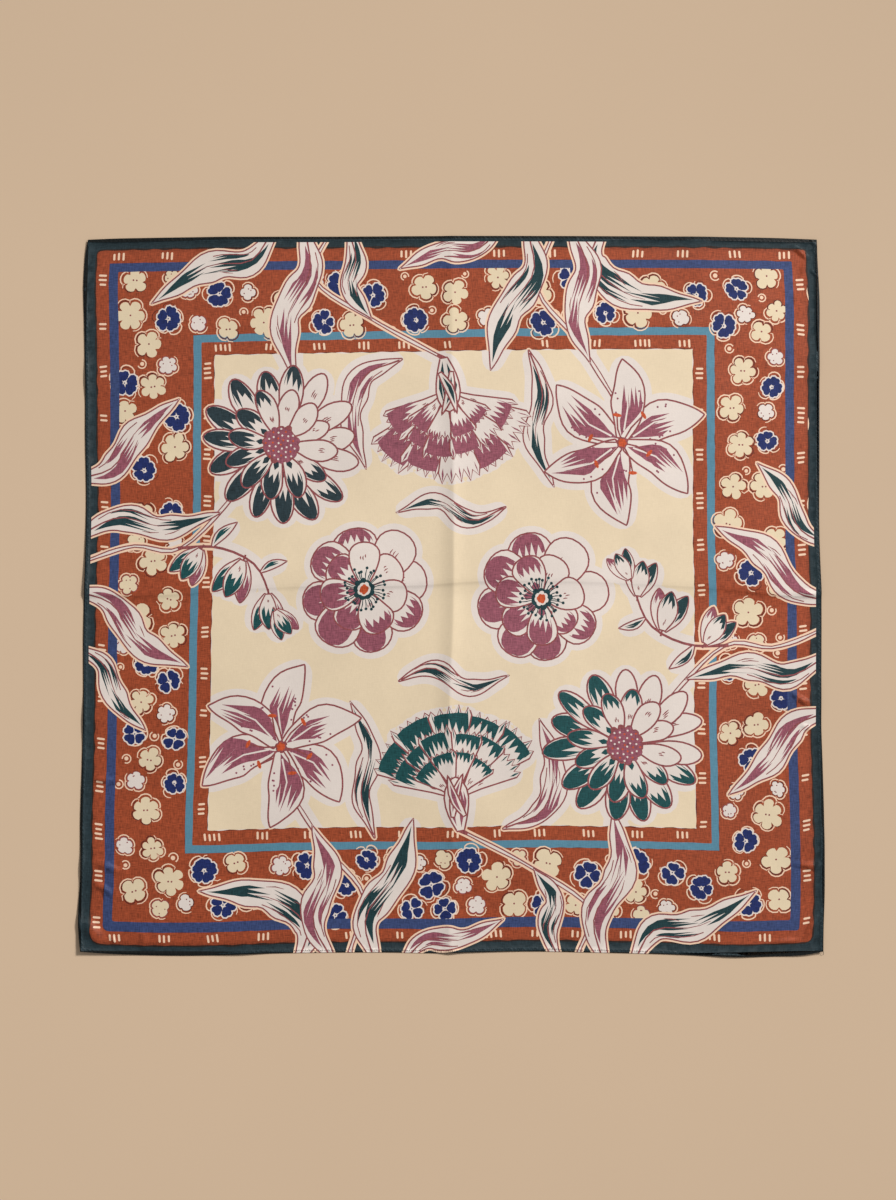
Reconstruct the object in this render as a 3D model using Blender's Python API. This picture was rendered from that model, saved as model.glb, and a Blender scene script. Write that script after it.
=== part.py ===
"""Silk square scarf, opened out and laid flat on a surface, with its storage folds still in it.

One printed panel of silk with a narrow rolled hem sewn along each of its four edges.  Every piece is
modelled in the flat cut's own coordinates, s to the right and t towards the top edge, and one function,
lay_down, then places all of them as the cloth lies: it bends the outline and lifts the folds.
Metres, +Z up, origin at the middle of the scarf on the surface that it lies on.
"""
from collections import namedtuple

import bmesh
import bpy
import numpy as np

# ---- driving dimensions -------------------------------------------------------------------------
CUT_WIDTH = 0.882          # hemmed cloth, left to right, before it is laid down
CUT_LENGTH = 0.858         # hemmed cloth, bottom edge to top edge
WALL = 0.0012              # printed panel's wall
HEM_WIDTH = 0.0044         # rolled hem, across
HEM_HEIGHT = 0.0021        # rolled hem, above what it rests on
HEM_ROUNDING = 0.0009      # radius of the roll's long edges
ROUNDING_STEPS = 2
SEAM_GAP = 0.0003          # between two pieces that are sewn together
COARSE_STEP = 0.028        # widest spacing of the cloth's grid lines
BORDER_STEP = 0.012        # first grid line inside an edge
FOLD_LINES = (-0.019, -0.0125, -0.0065, -0.0025, 0.0, 0.003, 0.0085, 0.016)   # grid lines beside a fold
FOLD_SHARPNESS = 1.8       # 1 is a straight-sided tent, more hollows its flanks
DRIFT_REACH = 0.150        # how far from a fold the grid lines still follow its bends
SHARP_EDGE_DEGREES = 40
ORIGIN_SHIFT = (0.0004, -0.0001)   # centres the laid outline on the origin

# ---- where the laid cloth's four corners are ----------------------------------------------------
BOTTOM_LEFT = (-0.4452, -0.4254)
BOTTOM_RIGHT = (0.4452, -0.4254)
TOP_LEFT = (-0.4362, 0.4278)
TOP_RIGHT = (0.4374, 0.4278)

# How far each laid edge bows outward from the straight line between its corners.
# along: 0 to 1 from left to right or from bottom to top.  out_mm: outward, in millimetres.
Bow = namedtuple("Bow", "along out_mm")
BOTTOM_BOW = [
    Bow(0.00, 0.0), Bow(0.03, 2.4), Bow(0.09, 4.8), Bow(0.19, 4.8), Bow(0.26, 2.6), Bow(0.41, 1.3),
    Bow(0.49, 2.2), Bow(0.53, 1.2), Bow(0.61, 0.1), Bow(0.68, 1.2), Bow(0.79, 3.7), Bow(0.84, 5.6),
    Bow(0.88, 7.0), Bow(0.935, 6.2), Bow(0.975, 4.4), Bow(1.00, 0.0),
]
TOP_BOW = [
    Bow(0.00, 0.0), Bow(0.03, 1.4), Bow(0.08, 2.4), Bow(0.18, 3.6), Bow(0.35, 4.0), Bow(0.52, 4.8),
    Bow(0.72, 4.5), Bow(0.88, 3.4), Bow(0.96, 1.8), Bow(1.00, 0.0),
]
LEFT_BOW = [
    Bow(0.00, 0.0), Bow(0.02, 2.2), Bow(0.06, 3.4), Bow(0.10, 1.6), Bow(0.18, 2.3), Bow(0.28, 0.7),
    Bow(0.36, 0.2), Bow(0.44, 1.0), Bow(0.56, -0.4), Bow(0.64, -0.7), Bow(0.72, 1.1), Bow(0.80, 1.9),
    Bow(0.87, 3.6), Bow(0.96, 4.6), Bow(0.985, 2.6), Bow(1.00, 0.0),
]
RIGHT_BOW = [
    Bow(0.00, 0.0), Bow(0.03, 0.8), Bow(0.07, 2.4), Bow(0.16, 3.0), Bow(0.27, 1.5), Bow(0.31, 0.6),
    Bow(0.42, 1.5), Bow(0.49, 2.0), Bow(0.58, 0.3), Bow(0.70, 1.3), Bow(0.85, 2.4), Bow(0.92, 3.0),
    Bow(0.97, 1.0), Bow(1.00, 0.0),
]

# ---- the two storage folds ----------------------------------------------------------------------
# Each is a low step right across the cloth, the sum of its flanks.
# offset: from the fold's line.  low_side and high_side: how far the flank runs out on either side.
# round_top: how gently it turns over at the line.
Flank = namedtuple("Flank", "offset rise low_side high_side round_top")
UPRIGHT_FOLD = [
    Flank(0.0, 0.00170, 0.0190, 0.0160, 0.0016),
    Flank(0.0, 0.00160, 0.0190, 0.1300, 0.0016),
]
LEVEL_FOLD = [
    Flank(0.0, 0.00075, 0.0045, 0.0900, 0.0005),
    Flank(0.005, 0.00125, 0.0200, 0.1100, 0.0020),
]

# Where each fold's line runs, in millimetres from the middle, from its left or bottom end on.
Turn = namedtuple("Turn", "along place_mm")
UPRIGHT_LINE = [
    Turn(0.00, -2.0), Turn(0.06, -1.5), Turn(0.20, 1.0), Turn(0.36, -2.6), Turn(0.45, 0.6),
    Turn(0.52, 1.4), Turn(0.62, 1.6), Turn(0.80, -0.6), Turn(0.93, 0.8), Turn(1.00, 0.0),
]
LEVEL_LINE = [
    Turn(0.00, 1.0), Turn(0.10, 1.8), Turn(0.19, 6.6), Turn(0.27, 9.4), Turn(0.46, 11.4),
    Turn(0.51, 14.4), Turn(0.61, 15.6), Turn(0.76, 13.0), Turn(0.87, 9.0), Turn(0.98, 0.8),
    Turn(1.00, 0.6),
]

# How much of its rise a fold has along its length.
Share = namedtuple("Share", "along share")
UPRIGHT_SHARE = [
    Share(0.00, 0.80), Share(0.06, 0.55), Share(0.20, 0.60), Share(0.38, 0.90), Share(0.52, 1.10),
    Share(0.66, 0.90), Share(0.86, 0.60), Share(0.97, 0.45), Share(1.00, 0.50),
]
LEVEL_SHARE = [
    Share(0.00, 1.10), Share(0.08, 1.00), Share(0.18, 0.70), Share(0.40, 1.00), Share(0.50, 1.00),
    Share(0.62, 0.75), Share(0.84, 0.80), Share(0.94, 1.50), Share(1.00, 1.90),
]

# ---- waves in the border ------------------------------------------------------------------------
# edge: the edge that the wave starts from.  at: the flat coordinate along that edge.
# half: half of its width along the edge.  reach: how far it runs into the cloth.  rise: its height.
Wave = namedtuple("Wave", "edge at half reach rise")
EDGE_WAVES = [
    Wave("right", 0.284, 0.034, 0.095, 0.0022),
    Wave("right", -0.125, 0.038, 0.085, 0.0024),
    Wave("right", -0.300, 0.030, 0.060, 0.0014),
    Wave("left", 0.262, 0.032, 0.060, 0.0016),
    Wave("left", -0.150, 0.036, 0.070, 0.0016),
    Wave("left", -0.330, 0.028, 0.080, 0.0020),
    Wave("bottom", -0.250, 0.040, 0.060, 0.0012),
    Wave("bottom", 0.330, 0.045, 0.075, 0.0012),
    Wave("top", 0.300, 0.040, 0.050, 0.0013),
    Wave("top", -0.280, 0.038, 0.045, 0.0012),
]

# Corners that curl up a little.  reach: from the corner along both edges.  rise: at its tip.
Curl = namedtuple("Curl", "s_side t_side reach rise")
CORNER_CURLS = [
    Curl(-1, -1, 0.090, 0.0050),
    Curl(1, -1, 0.075, 0.0032),
    Curl(1, 1, 0.055, 0.0026),
    Curl(-1, 1, 0.040, 0.0018),
]

# ---- colours ------------------------------------------------------------------------------------
# base: linear red, green and blue.
Finish = namedtuple("Finish", "base roughness")
PRINTED_SILK = Finish(base=(0.369, 0.065, 0.024), roughness=0.46)
HEM_SILK = Finish(base=(0.021, 0.048, 0.054), roughness=0.50)

HALF_WIDTH = CUT_WIDTH / 2
HALF_LENGTH = CUT_LENGTH / 2
INSET = HEM_WIDTH + SEAM_GAP


def read_table(rows, along):
    """Smooth curve through a two-column table, read at the fractions along."""
    knots = np.array(rows, dtype=float)
    x, y = knots[:, 0], knots[:, 1]
    slopes = np.gradient(y, x)
    index = np.clip(np.searchsorted(x, along, side="right") - 1, 0, len(x) - 2)
    span = x[index + 1] - x[index]
    t = np.clip((along - x[index]) / span, 0.0, 1.0)
    rest = 1.0 - t
    return (y[index] * rest ** 2 * (1 + 2 * t) + y[index + 1] * t ** 2 * (3 - 2 * t)
            + span * slopes[index] * t * rest ** 2 - span * slopes[index + 1] * t ** 2 * rest)


def edge_line(start, end, bow, side, along):
    """Points of one laid edge: the straight line from start to end, bowed out to the given side."""
    start, end = np.array(start), np.array(end)
    run = (end - start) / np.linalg.norm(end - start)
    outward = side * np.array((run[1], -run[0]))
    out = read_table(bow, along) * 0.001
    return start + np.outer(along, end - start) + np.outer(out, outward)


def laid_outline(u, v):
    """Plan of the laid cloth at the fractions u across and v up: a patch between its four edges."""
    bottom = edge_line(BOTTOM_LEFT, BOTTOM_RIGHT, BOTTOM_BOW, 1, u)
    top = edge_line(TOP_LEFT, TOP_RIGHT, TOP_BOW, -1, u)
    left = edge_line(BOTTOM_LEFT, TOP_LEFT, LEFT_BOW, -1, v)
    right = edge_line(BOTTOM_RIGHT, TOP_RIGHT, RIGHT_BOW, 1, v)
    u, v = u[:, None], v[:, None]
    corners = ((1 - u) * (1 - v) * np.array(BOTTOM_LEFT) + u * (1 - v) * np.array(BOTTOM_RIGHT)
               + (1 - u) * v * np.array(TOP_LEFT) + u * v * np.array(TOP_RIGHT))
    return (1 - v) * bottom + v * top + (1 - u) * left + u * right - corners


def bump(distance):
    """Soft hump: 1 at a distance of 0, level at both ends, 0 from a distance of 1."""
    reach = np.clip(1.0 - np.abs(distance), 0.0, 1.0)
    return reach * reach * (3 - 2 * reach)


def fold_height(flanks, across, line_mm, share):
    """Height of a storage fold: its flanks turn over at the fold's line and run out beside it."""
    height = 0.0
    for flank in flanks:
        offset = across - line_mm * 0.001 - flank.offset
        reach = np.where(offset < 0, flank.low_side, flank.high_side)
        far = (np.hypot(offset, flank.round_top) - flank.round_top) / reach
        height = height + flank.rise * np.clip(1.0 - far, 0.0, 1.0) ** FOLD_SHARPNESS
    return height * share


def lift(s, t):
    """Height of the cloth's underside above the surface, at flat coordinates s and t."""
    up, over = t / CUT_LENGTH + 0.5, s / CUT_WIDTH + 0.5
    height = fold_height(UPRIGHT_FOLD, s, read_table(UPRIGHT_LINE, up), read_table(UPRIGHT_SHARE, up))
    height = height + fold_height(LEVEL_FOLD, t, read_table(LEVEL_LINE, over), read_table(LEVEL_SHARE, over))
    from_edge = {"left": s + HALF_WIDTH, "right": HALF_WIDTH - s,
                 "bottom": t + HALF_LENGTH, "top": HALF_LENGTH - t}
    for wave in EDGE_WAVES:
        along = t if wave.edge in ("left", "right") else s
        shape = bump((along - wave.at) / wave.half) * bump(from_edge[wave.edge] / wave.reach)
        height = height + wave.rise * shape
    for curl in CORNER_CURLS:
        from_corner = (HALF_WIDTH - curl.s_side * s) + (HALF_LENGTH - curl.t_side * t)
        height = height + curl.rise * np.clip(1.0 - from_corner / curl.reach, 0.0, 1.0) ** 2
    return height


def lay_down(mesh):
    """Move a mesh from the flat cut's coordinates to where the cloth lies."""
    points = np.empty(len(mesh.vertices) * 3)
    mesh.vertices.foreach_get("co", points)
    points = points.reshape(-1, 3)
    s, t = points[:, 0].copy(), points[:, 1].copy()
    points[:, :2] = laid_outline(s / CUT_WIDTH + 0.5, t / CUT_LENGTH + 0.5) + np.array(ORIGIN_SHIFT)
    points[:, 2] += lift(s, t)
    mesh.vertices.foreach_set("co", points.ravel())
    mesh.update()


def follow(s, t):
    """Flat coordinates of grid points, moved with the bends of the two folds' lines."""
    across = read_table(UPRIGHT_LINE, t / CUT_LENGTH + 0.5) * 0.001
    over = read_table(LEVEL_LINE, s / CUT_WIDTH + 0.5) * 0.001
    return s + across * bump(s / DRIFT_REACH), t + over * bump(t / DRIFT_REACH)


def grid_lines(half):
    """Flat coordinates of the cloth's grid lines: close together at the fold and at the edges."""
    fine = list(FOLD_LINES)
    edge = half - INSET
    low = [-edge, -edge + BORDER_STEP]
    high = [edge - BORDER_STEP, edge]
    lines = []
    for group, following in ((low, fine), (fine, high)):
        gap = following[0] - group[-1]
        steps = int(np.ceil(gap / COARSE_STEP))
        lines += group + [group[-1] + gap * step / steps for step in range(1, steps)]
    return np.array(lines + high)


def add_mesh_object(name, shape, finish, collection):
    """Lay a flat piece down as a named object with its own material."""
    mesh = bpy.data.meshes.new(name)
    shape.to_mesh(mesh)
    shape.free()
    lay_down(mesh)
    material = bpy.data.materials.new(name + "_silk")
    material.use_nodes = True
    surface = material.node_tree.nodes["Principled BSDF"]
    surface.inputs["Base Color"].default_value = (*finish.base, 1.0)
    surface.inputs["Roughness"].default_value = finish.roughness
    surface.inputs["Metallic"].default_value = 0.0
    mesh.materials.append(material)
    mesh.shade_smooth()
    mesh.set_sharp_from_angle(angle=np.radians(SHARP_EDGE_DEGREES))
    collection.objects.link(bpy.data.objects.new(name, mesh))


def printed_panel(s_lines, t_lines):
    """The square of silk between the hems: a grid, given its wall upwards from the surface."""
    shape = bmesh.new()
    bmesh.ops.create_grid(shape, x_segments=len(s_lines) - 1, y_segments=len(t_lines) - 1, size=1.0)
    for vertex in shape.verts:
        column = round((vertex.co.x + 1) / 2 * (len(s_lines) - 1))
        row = round((vertex.co.y + 1) / 2 * (len(t_lines) - 1))
        s, t = follow(s_lines[column], t_lines[row])
        vertex.co = (s, t, WALL)
    shape.normal_update()
    bmesh.ops.solidify(shape, geom=shape.faces[:], thickness=WALL)
    bmesh.ops.recalc_face_normals(shape, faces=shape.faces)
    return shape


def rolled_hem(s_range, t_range, stations):
    """One hem: a flat-bottomed bar with rounded long edges, cut at each station along its length."""
    along_s = s_range[1] - s_range[0] > t_range[1] - t_range[0]
    shape = bmesh.new()
    bmesh.ops.create_cube(shape, size=1.0)
    for vertex in shape.verts:
        vertex.co = (s_range[vertex.co.x > 0], t_range[vertex.co.y > 0], HEM_HEIGHT * (vertex.co.z > 0))
    run = 0 if along_s else 1
    long_edges = [edge for edge in shape.edges
                  if abs(edge.verts[0].co[run] - edge.verts[1].co[run]) > HEM_WIDTH * 2]
    bmesh.ops.bevel(shape, geom=long_edges, offset=HEM_ROUNDING, segments=ROUNDING_STEPS,
                    profile=0.5, affect="EDGES")
    low, high = s_range if along_s else t_range
    direction = (1, 0, 0) if along_s else (0, 1, 0)
    for station in stations:
        if low + SEAM_GAP < station < high - SEAM_GAP:
            place = (station, 0, 0) if along_s else (0, station, 0)
            geometry = shape.verts[:] + shape.edges[:] + shape.faces[:]
            bmesh.ops.bisect_plane(shape, geom=geometry, plane_co=place, plane_no=direction)
    bmesh.ops.recalc_face_normals(shape, faces=shape.faces)
    return shape


def build():
    """Clear the scene and make the scarf's five pieces."""
    for old in list(bpy.data.objects):
        bpy.data.objects.remove(old, do_unlink=True)
    scarf = bpy.data.collections.new("silk_square_scarf")
    bpy.context.scene.collection.children.link(scarf)

    s_lines = grid_lines(HALF_WIDTH)
    t_lines = grid_lines(HALF_LENGTH)
    add_mesh_object("silk_field", printed_panel(s_lines, t_lines), PRINTED_SILK, scarf)

    full = (-HALF_WIDTH, HALF_WIDTH)
    between = (-HALF_LENGTH + INSET, HALF_LENGTH - INSET)
    hems = {
        "hem_bottom": (full, (-HALF_LENGTH, -HALF_LENGTH + HEM_WIDTH), follow(s_lines, -HALF_LENGTH)[0]),
        "hem_top": (full, (HALF_LENGTH - HEM_WIDTH, HALF_LENGTH), follow(s_lines, HALF_LENGTH)[0]),
        "hem_left": ((-HALF_WIDTH, -HALF_WIDTH + HEM_WIDTH), between, follow(-HALF_WIDTH, t_lines)[1]),
        "hem_right": ((HALF_WIDTH - HEM_WIDTH, HALF_WIDTH), between, follow(HALF_WIDTH, t_lines)[1]),
    }
    for name, (s_range, t_range, stations) in hems.items():
        add_mesh_object(name, rolled_hem(s_range, t_range, stations), HEM_SILK, scarf)


build()
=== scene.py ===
"""Looks of a silk square scarf that lies flat: printed twill, rolled hems, hem stitches and soft light.

The print is drawn as flat-coloured areas in the cloth's own flat coordinates, in millimetres from the
middle of the cut.  One planar map splits the cloth along their edges, and LaidCloth then places every
point as the cloth lies, so the print, the hems and the stitches all follow the same folds and waves.
"""
import logging
import math
from dataclasses import dataclass, field
from enum import Enum
from typing import NamedTuple, Sequence

import bmesh
import bpy
import numpy as np
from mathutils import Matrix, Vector
from mathutils.geometry import delaunay_2d_cdt


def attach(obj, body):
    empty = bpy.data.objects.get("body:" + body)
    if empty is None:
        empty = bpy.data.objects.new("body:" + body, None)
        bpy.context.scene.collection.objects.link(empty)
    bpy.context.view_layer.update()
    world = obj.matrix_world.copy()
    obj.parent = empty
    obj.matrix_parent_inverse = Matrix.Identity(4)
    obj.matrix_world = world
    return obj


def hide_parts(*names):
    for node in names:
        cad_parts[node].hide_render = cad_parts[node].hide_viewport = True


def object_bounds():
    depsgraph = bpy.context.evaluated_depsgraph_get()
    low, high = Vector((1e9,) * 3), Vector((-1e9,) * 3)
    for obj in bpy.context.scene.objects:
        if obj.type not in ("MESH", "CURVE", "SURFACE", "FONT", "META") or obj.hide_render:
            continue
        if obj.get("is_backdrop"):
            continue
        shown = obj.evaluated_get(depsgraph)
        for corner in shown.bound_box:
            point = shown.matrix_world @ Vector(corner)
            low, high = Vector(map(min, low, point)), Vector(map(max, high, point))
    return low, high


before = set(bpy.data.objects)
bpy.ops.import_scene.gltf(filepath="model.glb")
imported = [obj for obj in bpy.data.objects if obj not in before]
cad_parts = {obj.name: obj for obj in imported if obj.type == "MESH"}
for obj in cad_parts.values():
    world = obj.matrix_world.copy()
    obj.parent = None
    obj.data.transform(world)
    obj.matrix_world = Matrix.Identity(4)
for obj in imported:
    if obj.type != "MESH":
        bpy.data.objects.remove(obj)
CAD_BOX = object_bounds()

LOG = logging.getLogger("silk_scarf")
MM = 0.001
Points = np.ndarray
Pair = tuple[float, float]
Triple = tuple[float, float, float]
Rng = np.random.Generator
Socket = bpy.types.NodeSocket

CUT_WIDTH = 882.0          # hemmed cloth, in millimetres
CUT_LENGTH = 858.0
HALF_WIDTH = CUT_WIDTH / 2
HALF_LENGTH = CUT_LENGTH / 2
HALF_CUT = np.array((HALF_WIDTH, HALF_LENGTH))
CORNERS = np.array(((-1, -1), (1, -1), (1, 1), (-1, 1)))
HEM_WIDTH = 4.4


# ---- how the cloth lies ----
class Edge(Enum):
    """An edge of the cloth: the coordinate that crosses it, and on which side of the middle it is."""

    LEFT = (0, -1)
    RIGHT = (0, 1)
    BOTTOM = (1, -1)
    TOP = (1, 1)


class Knot(NamedTuple):
    """A row of a table: what an edge or a fold does at a fraction of its length."""

    along: float
    value: float


class Pucker(NamedTuple):
    """A short soft crease: its middle and direction on the cut, its size and its height."""

    middle: Pair
    degrees: float
    length: float
    breadth: float
    rise: float

    def frame(self, flat: np.ndarray) -> np.ndarray:
        """Places of flat points along and across the crease, which ends at 1 both ways."""
        return turned(flat - np.array(self.middle), -self.degrees) * 2 / (self.length, self.breadth)

    def spots(self) -> np.ndarray:
        """Flat points spread over the crease.

        Returns:
            Their two coordinates, in millimetres.
        """
        steps = np.linspace(-1, 1, PUCKER_SPOTS)
        grid = np.array(np.meshgrid(steps * self.length / 2, steps * self.breadth / 2))
        return np.array(self.middle) + turned(grid.reshape(2, -1).T, self.degrees)


class Fold(NamedTuple):
    """A step or low ridge that a storage fold left right across the cloth."""

    upright: bool
    offset: float
    rise: float
    low_side: float
    high_side: float
    round_top: float


class Wave(NamedTuple):
    """A low wave that runs in from an edge of the cloth."""

    edge: Edge
    at: float
    half: float
    reach: float
    rise: float


class Curl(NamedTuple):
    """A corner that stands up a little."""

    s_side: int
    t_side: int
    reach: float
    rise: float


# How far each laid edge stands out from a straight line, in millimetres.
BOTTOM_BOW = (
    Knot(0.00, 0.0), Knot(0.03, 2.4), Knot(0.09, 4.8), Knot(0.19, 4.8), Knot(0.26, 2.6), Knot(0.41, 1.3),
    Knot(0.49, 2.2), Knot(0.53, 1.2), Knot(0.61, 0.1), Knot(0.68, 1.2), Knot(0.79, 3.7), Knot(0.84, 5.6),
    Knot(0.88, 7.0), Knot(0.935, 6.2), Knot(0.975, 4.4), Knot(1.00, 0.0),
)
TOP_BOW = (
    Knot(0.00, 0.0), Knot(0.03, 1.4), Knot(0.08, 2.4), Knot(0.18, 3.6), Knot(0.35, 4.0), Knot(0.52, 4.8),
    Knot(0.72, 4.5), Knot(0.88, 3.4), Knot(0.96, 1.8), Knot(1.00, 0.0),
)
LEFT_BOW = (
    Knot(0.00, 0.0), Knot(0.02, 2.2), Knot(0.06, 3.4), Knot(0.10, 1.6), Knot(0.18, 2.3), Knot(0.28, 0.7),
    Knot(0.36, 0.2), Knot(0.44, 1.0), Knot(0.56, -0.4), Knot(0.64, -0.7), Knot(0.72, 1.1), Knot(0.80, 1.9),
    Knot(0.87, 3.6), Knot(0.96, 4.6), Knot(0.985, 2.6), Knot(1.00, 0.0),
)
RIGHT_BOW = (
    Knot(0.00, 0.0), Knot(0.03, 0.8), Knot(0.07, 2.4), Knot(0.16, 3.0), Knot(0.27, 1.5), Knot(0.31, 0.6),
    Knot(0.42, 1.5), Knot(0.49, 2.0), Knot(0.58, 0.3), Knot(0.70, 1.3), Knot(0.85, 2.4), Knot(0.92, 3.0),
    Knot(0.97, 1.0), Knot(1.00, 0.0),
)
# Where each fold's line runs, in millimetres from the middle, and its share of the full rise.
UPRIGHT_LINE = (Knot(0.0, -2.0), Knot(0.06, -1.5), Knot(0.20, 1.0), Knot(0.36, -2.6), Knot(0.45, 0.6),
                Knot(0.52, 1.4), Knot(0.62, 1.6), Knot(0.80, -0.6), Knot(0.93, 0.8), Knot(1.0, 0.0))
UPRIGHT_SHARES = (Knot(0.00, 0.80), Knot(0.06, 0.55), Knot(0.20, 0.60), Knot(0.38, 0.90), Knot(0.52, 1.10),
                  Knot(0.66, 0.90), Knot(0.86, 0.60), Knot(0.97, 0.45), Knot(1.00, 0.50))
LEVEL_LINE = (Knot(0.0, 1.0), Knot(0.10, 1.8), Knot(0.19, 6.6), Knot(0.27, 9.4), Knot(0.46, 11.4),
              Knot(0.51, 14.4), Knot(0.61, 15.6), Knot(0.76, 13.0), Knot(0.87, 9.0), Knot(0.98, 0.8),
              Knot(1.0, 0.6))
LEVEL_SHARES = (Knot(0.00, 1.60), Knot(0.08, 1.20), Knot(0.18, 0.70), Knot(0.40, 1.00), Knot(0.50, 1.00),
                Knot(0.62, 0.75), Knot(0.84, 0.80), Knot(0.94, 1.50), Knot(1.00, 1.90))
FOLDS = (
    Fold(True, 0.0, 1.7, 19.0, 16.0, 1.6),
    Fold(True, 0.0, 1.6, 19.0, 130.0, 1.6),
    Fold(False, 0.0, 0.75, 4.5, 90.0, 0.5),
    Fold(False, 5.0, 1.25, 20.0, 110.0, 2.0),
)
EDGE_WAVES = (
    Wave(Edge.RIGHT, 284, 34, 95, 2.2),
    Wave(Edge.RIGHT, -125, 38, 85, 2.4),
    Wave(Edge.RIGHT, -300, 30, 60, 1.4),
    Wave(Edge.LEFT, 262, 32, 60, 1.6),
    Wave(Edge.LEFT, -150, 36, 70, 1.6),
    Wave(Edge.LEFT, -330, 28, 80, 2.0),
    Wave(Edge.BOTTOM, -250, 40, 60, 1.2),
    Wave(Edge.BOTTOM, 330, 45, 75, 1.2),
    Wave(Edge.TOP, 300, 40, 50, 1.3),
    Wave(Edge.TOP, -280, 38, 45, 1.2),
)
CORNER_CURLS = (
    Curl(-1, -1, 90, 5.0),
    Curl(1, -1, 75, 3.2),
    Curl(1, 1, 55, 2.6),
    Curl(-1, 1, 40, 1.8),
)
FOLD_SHARPNESS = 1.8
PUCKER_SPOTS = 7
PUCKERS = (
    Pucker((426, -398), 66, 46, 14, 2.8),
    Pucker((397, -411), 2, 42, 9, 1.8),
    Pucker((421, -322), -14, 44, 13, 3.8),
    Pucker((424, -157), -25, 22, 10, 1.8),
    Pucker((416, -122), -35, 38, 12, 3.8),
    Pucker((425, 4), -14, 30, 11, 2.4),
    Pucker((421, 413), -38, 32, 11, 3.4),
    Pucker((424, 392), 82, 40, 13, 1.4),
    Pucker((437, 424), 132, 16, 7, 1.8),
    Pucker((437, 388), -42, 20, 8, 2.0),
    Pucker((436, 262), 18, 18, 9, 1.2),
    Pucker((-364, -412), 98, 36, 17, 1.4),
    Pucker((-400, -412), -52, 20, 9, 1.6),
    Pucker((-427, -402), -46, 56, 28, 4.4),
    Pucker((-412, -352), -28, 44, 14, 3.0),
    Pucker((-408, -325), -18, 50, 15, 3.2),
    Pucker((-412, -221), -4, 48, 12, 3.0),
    Pucker((-433, 397), 14, 19, 9, 0.9),
    Pucker((-433, 372), 20, 22, 9, 1.2),
    Pucker((-433, 346), 8, 17, 8, 0.8),
    Pucker((-433, 321), 22, 22, 9, 1.2),
    Pucker((-433, 301), 16, 22, 10, 1.2),
    Pucker((-434, -236), -18, 20, 10, 0.6),
    Pucker((150, 424), 96, 16, 10, 0.5),
    Pucker((-210, 424), 84, 15, 9, 0.5),
    Pucker((262, -424), 80, 18, 11, 0.6),
    Pucker((-96, -424), 98, 15, 10, 0.5),
)


def read_table(rows: Sequence[Pair], along: np.ndarray) -> np.ndarray:
    """Smooth curve through a two-column table.

    Args:
        rows: the table, in rising order of its first column.
        along: where it is read.

    Returns:
        The second column's value at each place.
    """
    knots = np.array(rows, dtype=float)
    x, y = knots[:, 0], knots[:, 1]
    slopes = np.gradient(y, x)
    index = np.clip(np.searchsorted(x, along, side="right") - 1, 0, len(x) - 2)
    span = x[index + 1] - x[index]
    t = np.clip((along - x[index]) / span, 0.0, 1.0)
    rest = 1.0 - t
    return (y[index] * rest ** 2 * (1 + 2 * t) + y[index + 1] * t ** 2 * (3 - 2 * t)
            + span * slopes[index] * t * rest ** 2 - span * slopes[index + 1] * t ** 2 * rest)


def bump(distance: np.ndarray) -> np.ndarray:
    """Soft hump: 1 at a distance of 0, level at both ends, 0 from a distance of 1."""
    reach = np.clip(1.0 - np.abs(distance), 0.0, 1.0)
    return reach * reach * (3 - 2 * reach)


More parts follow.
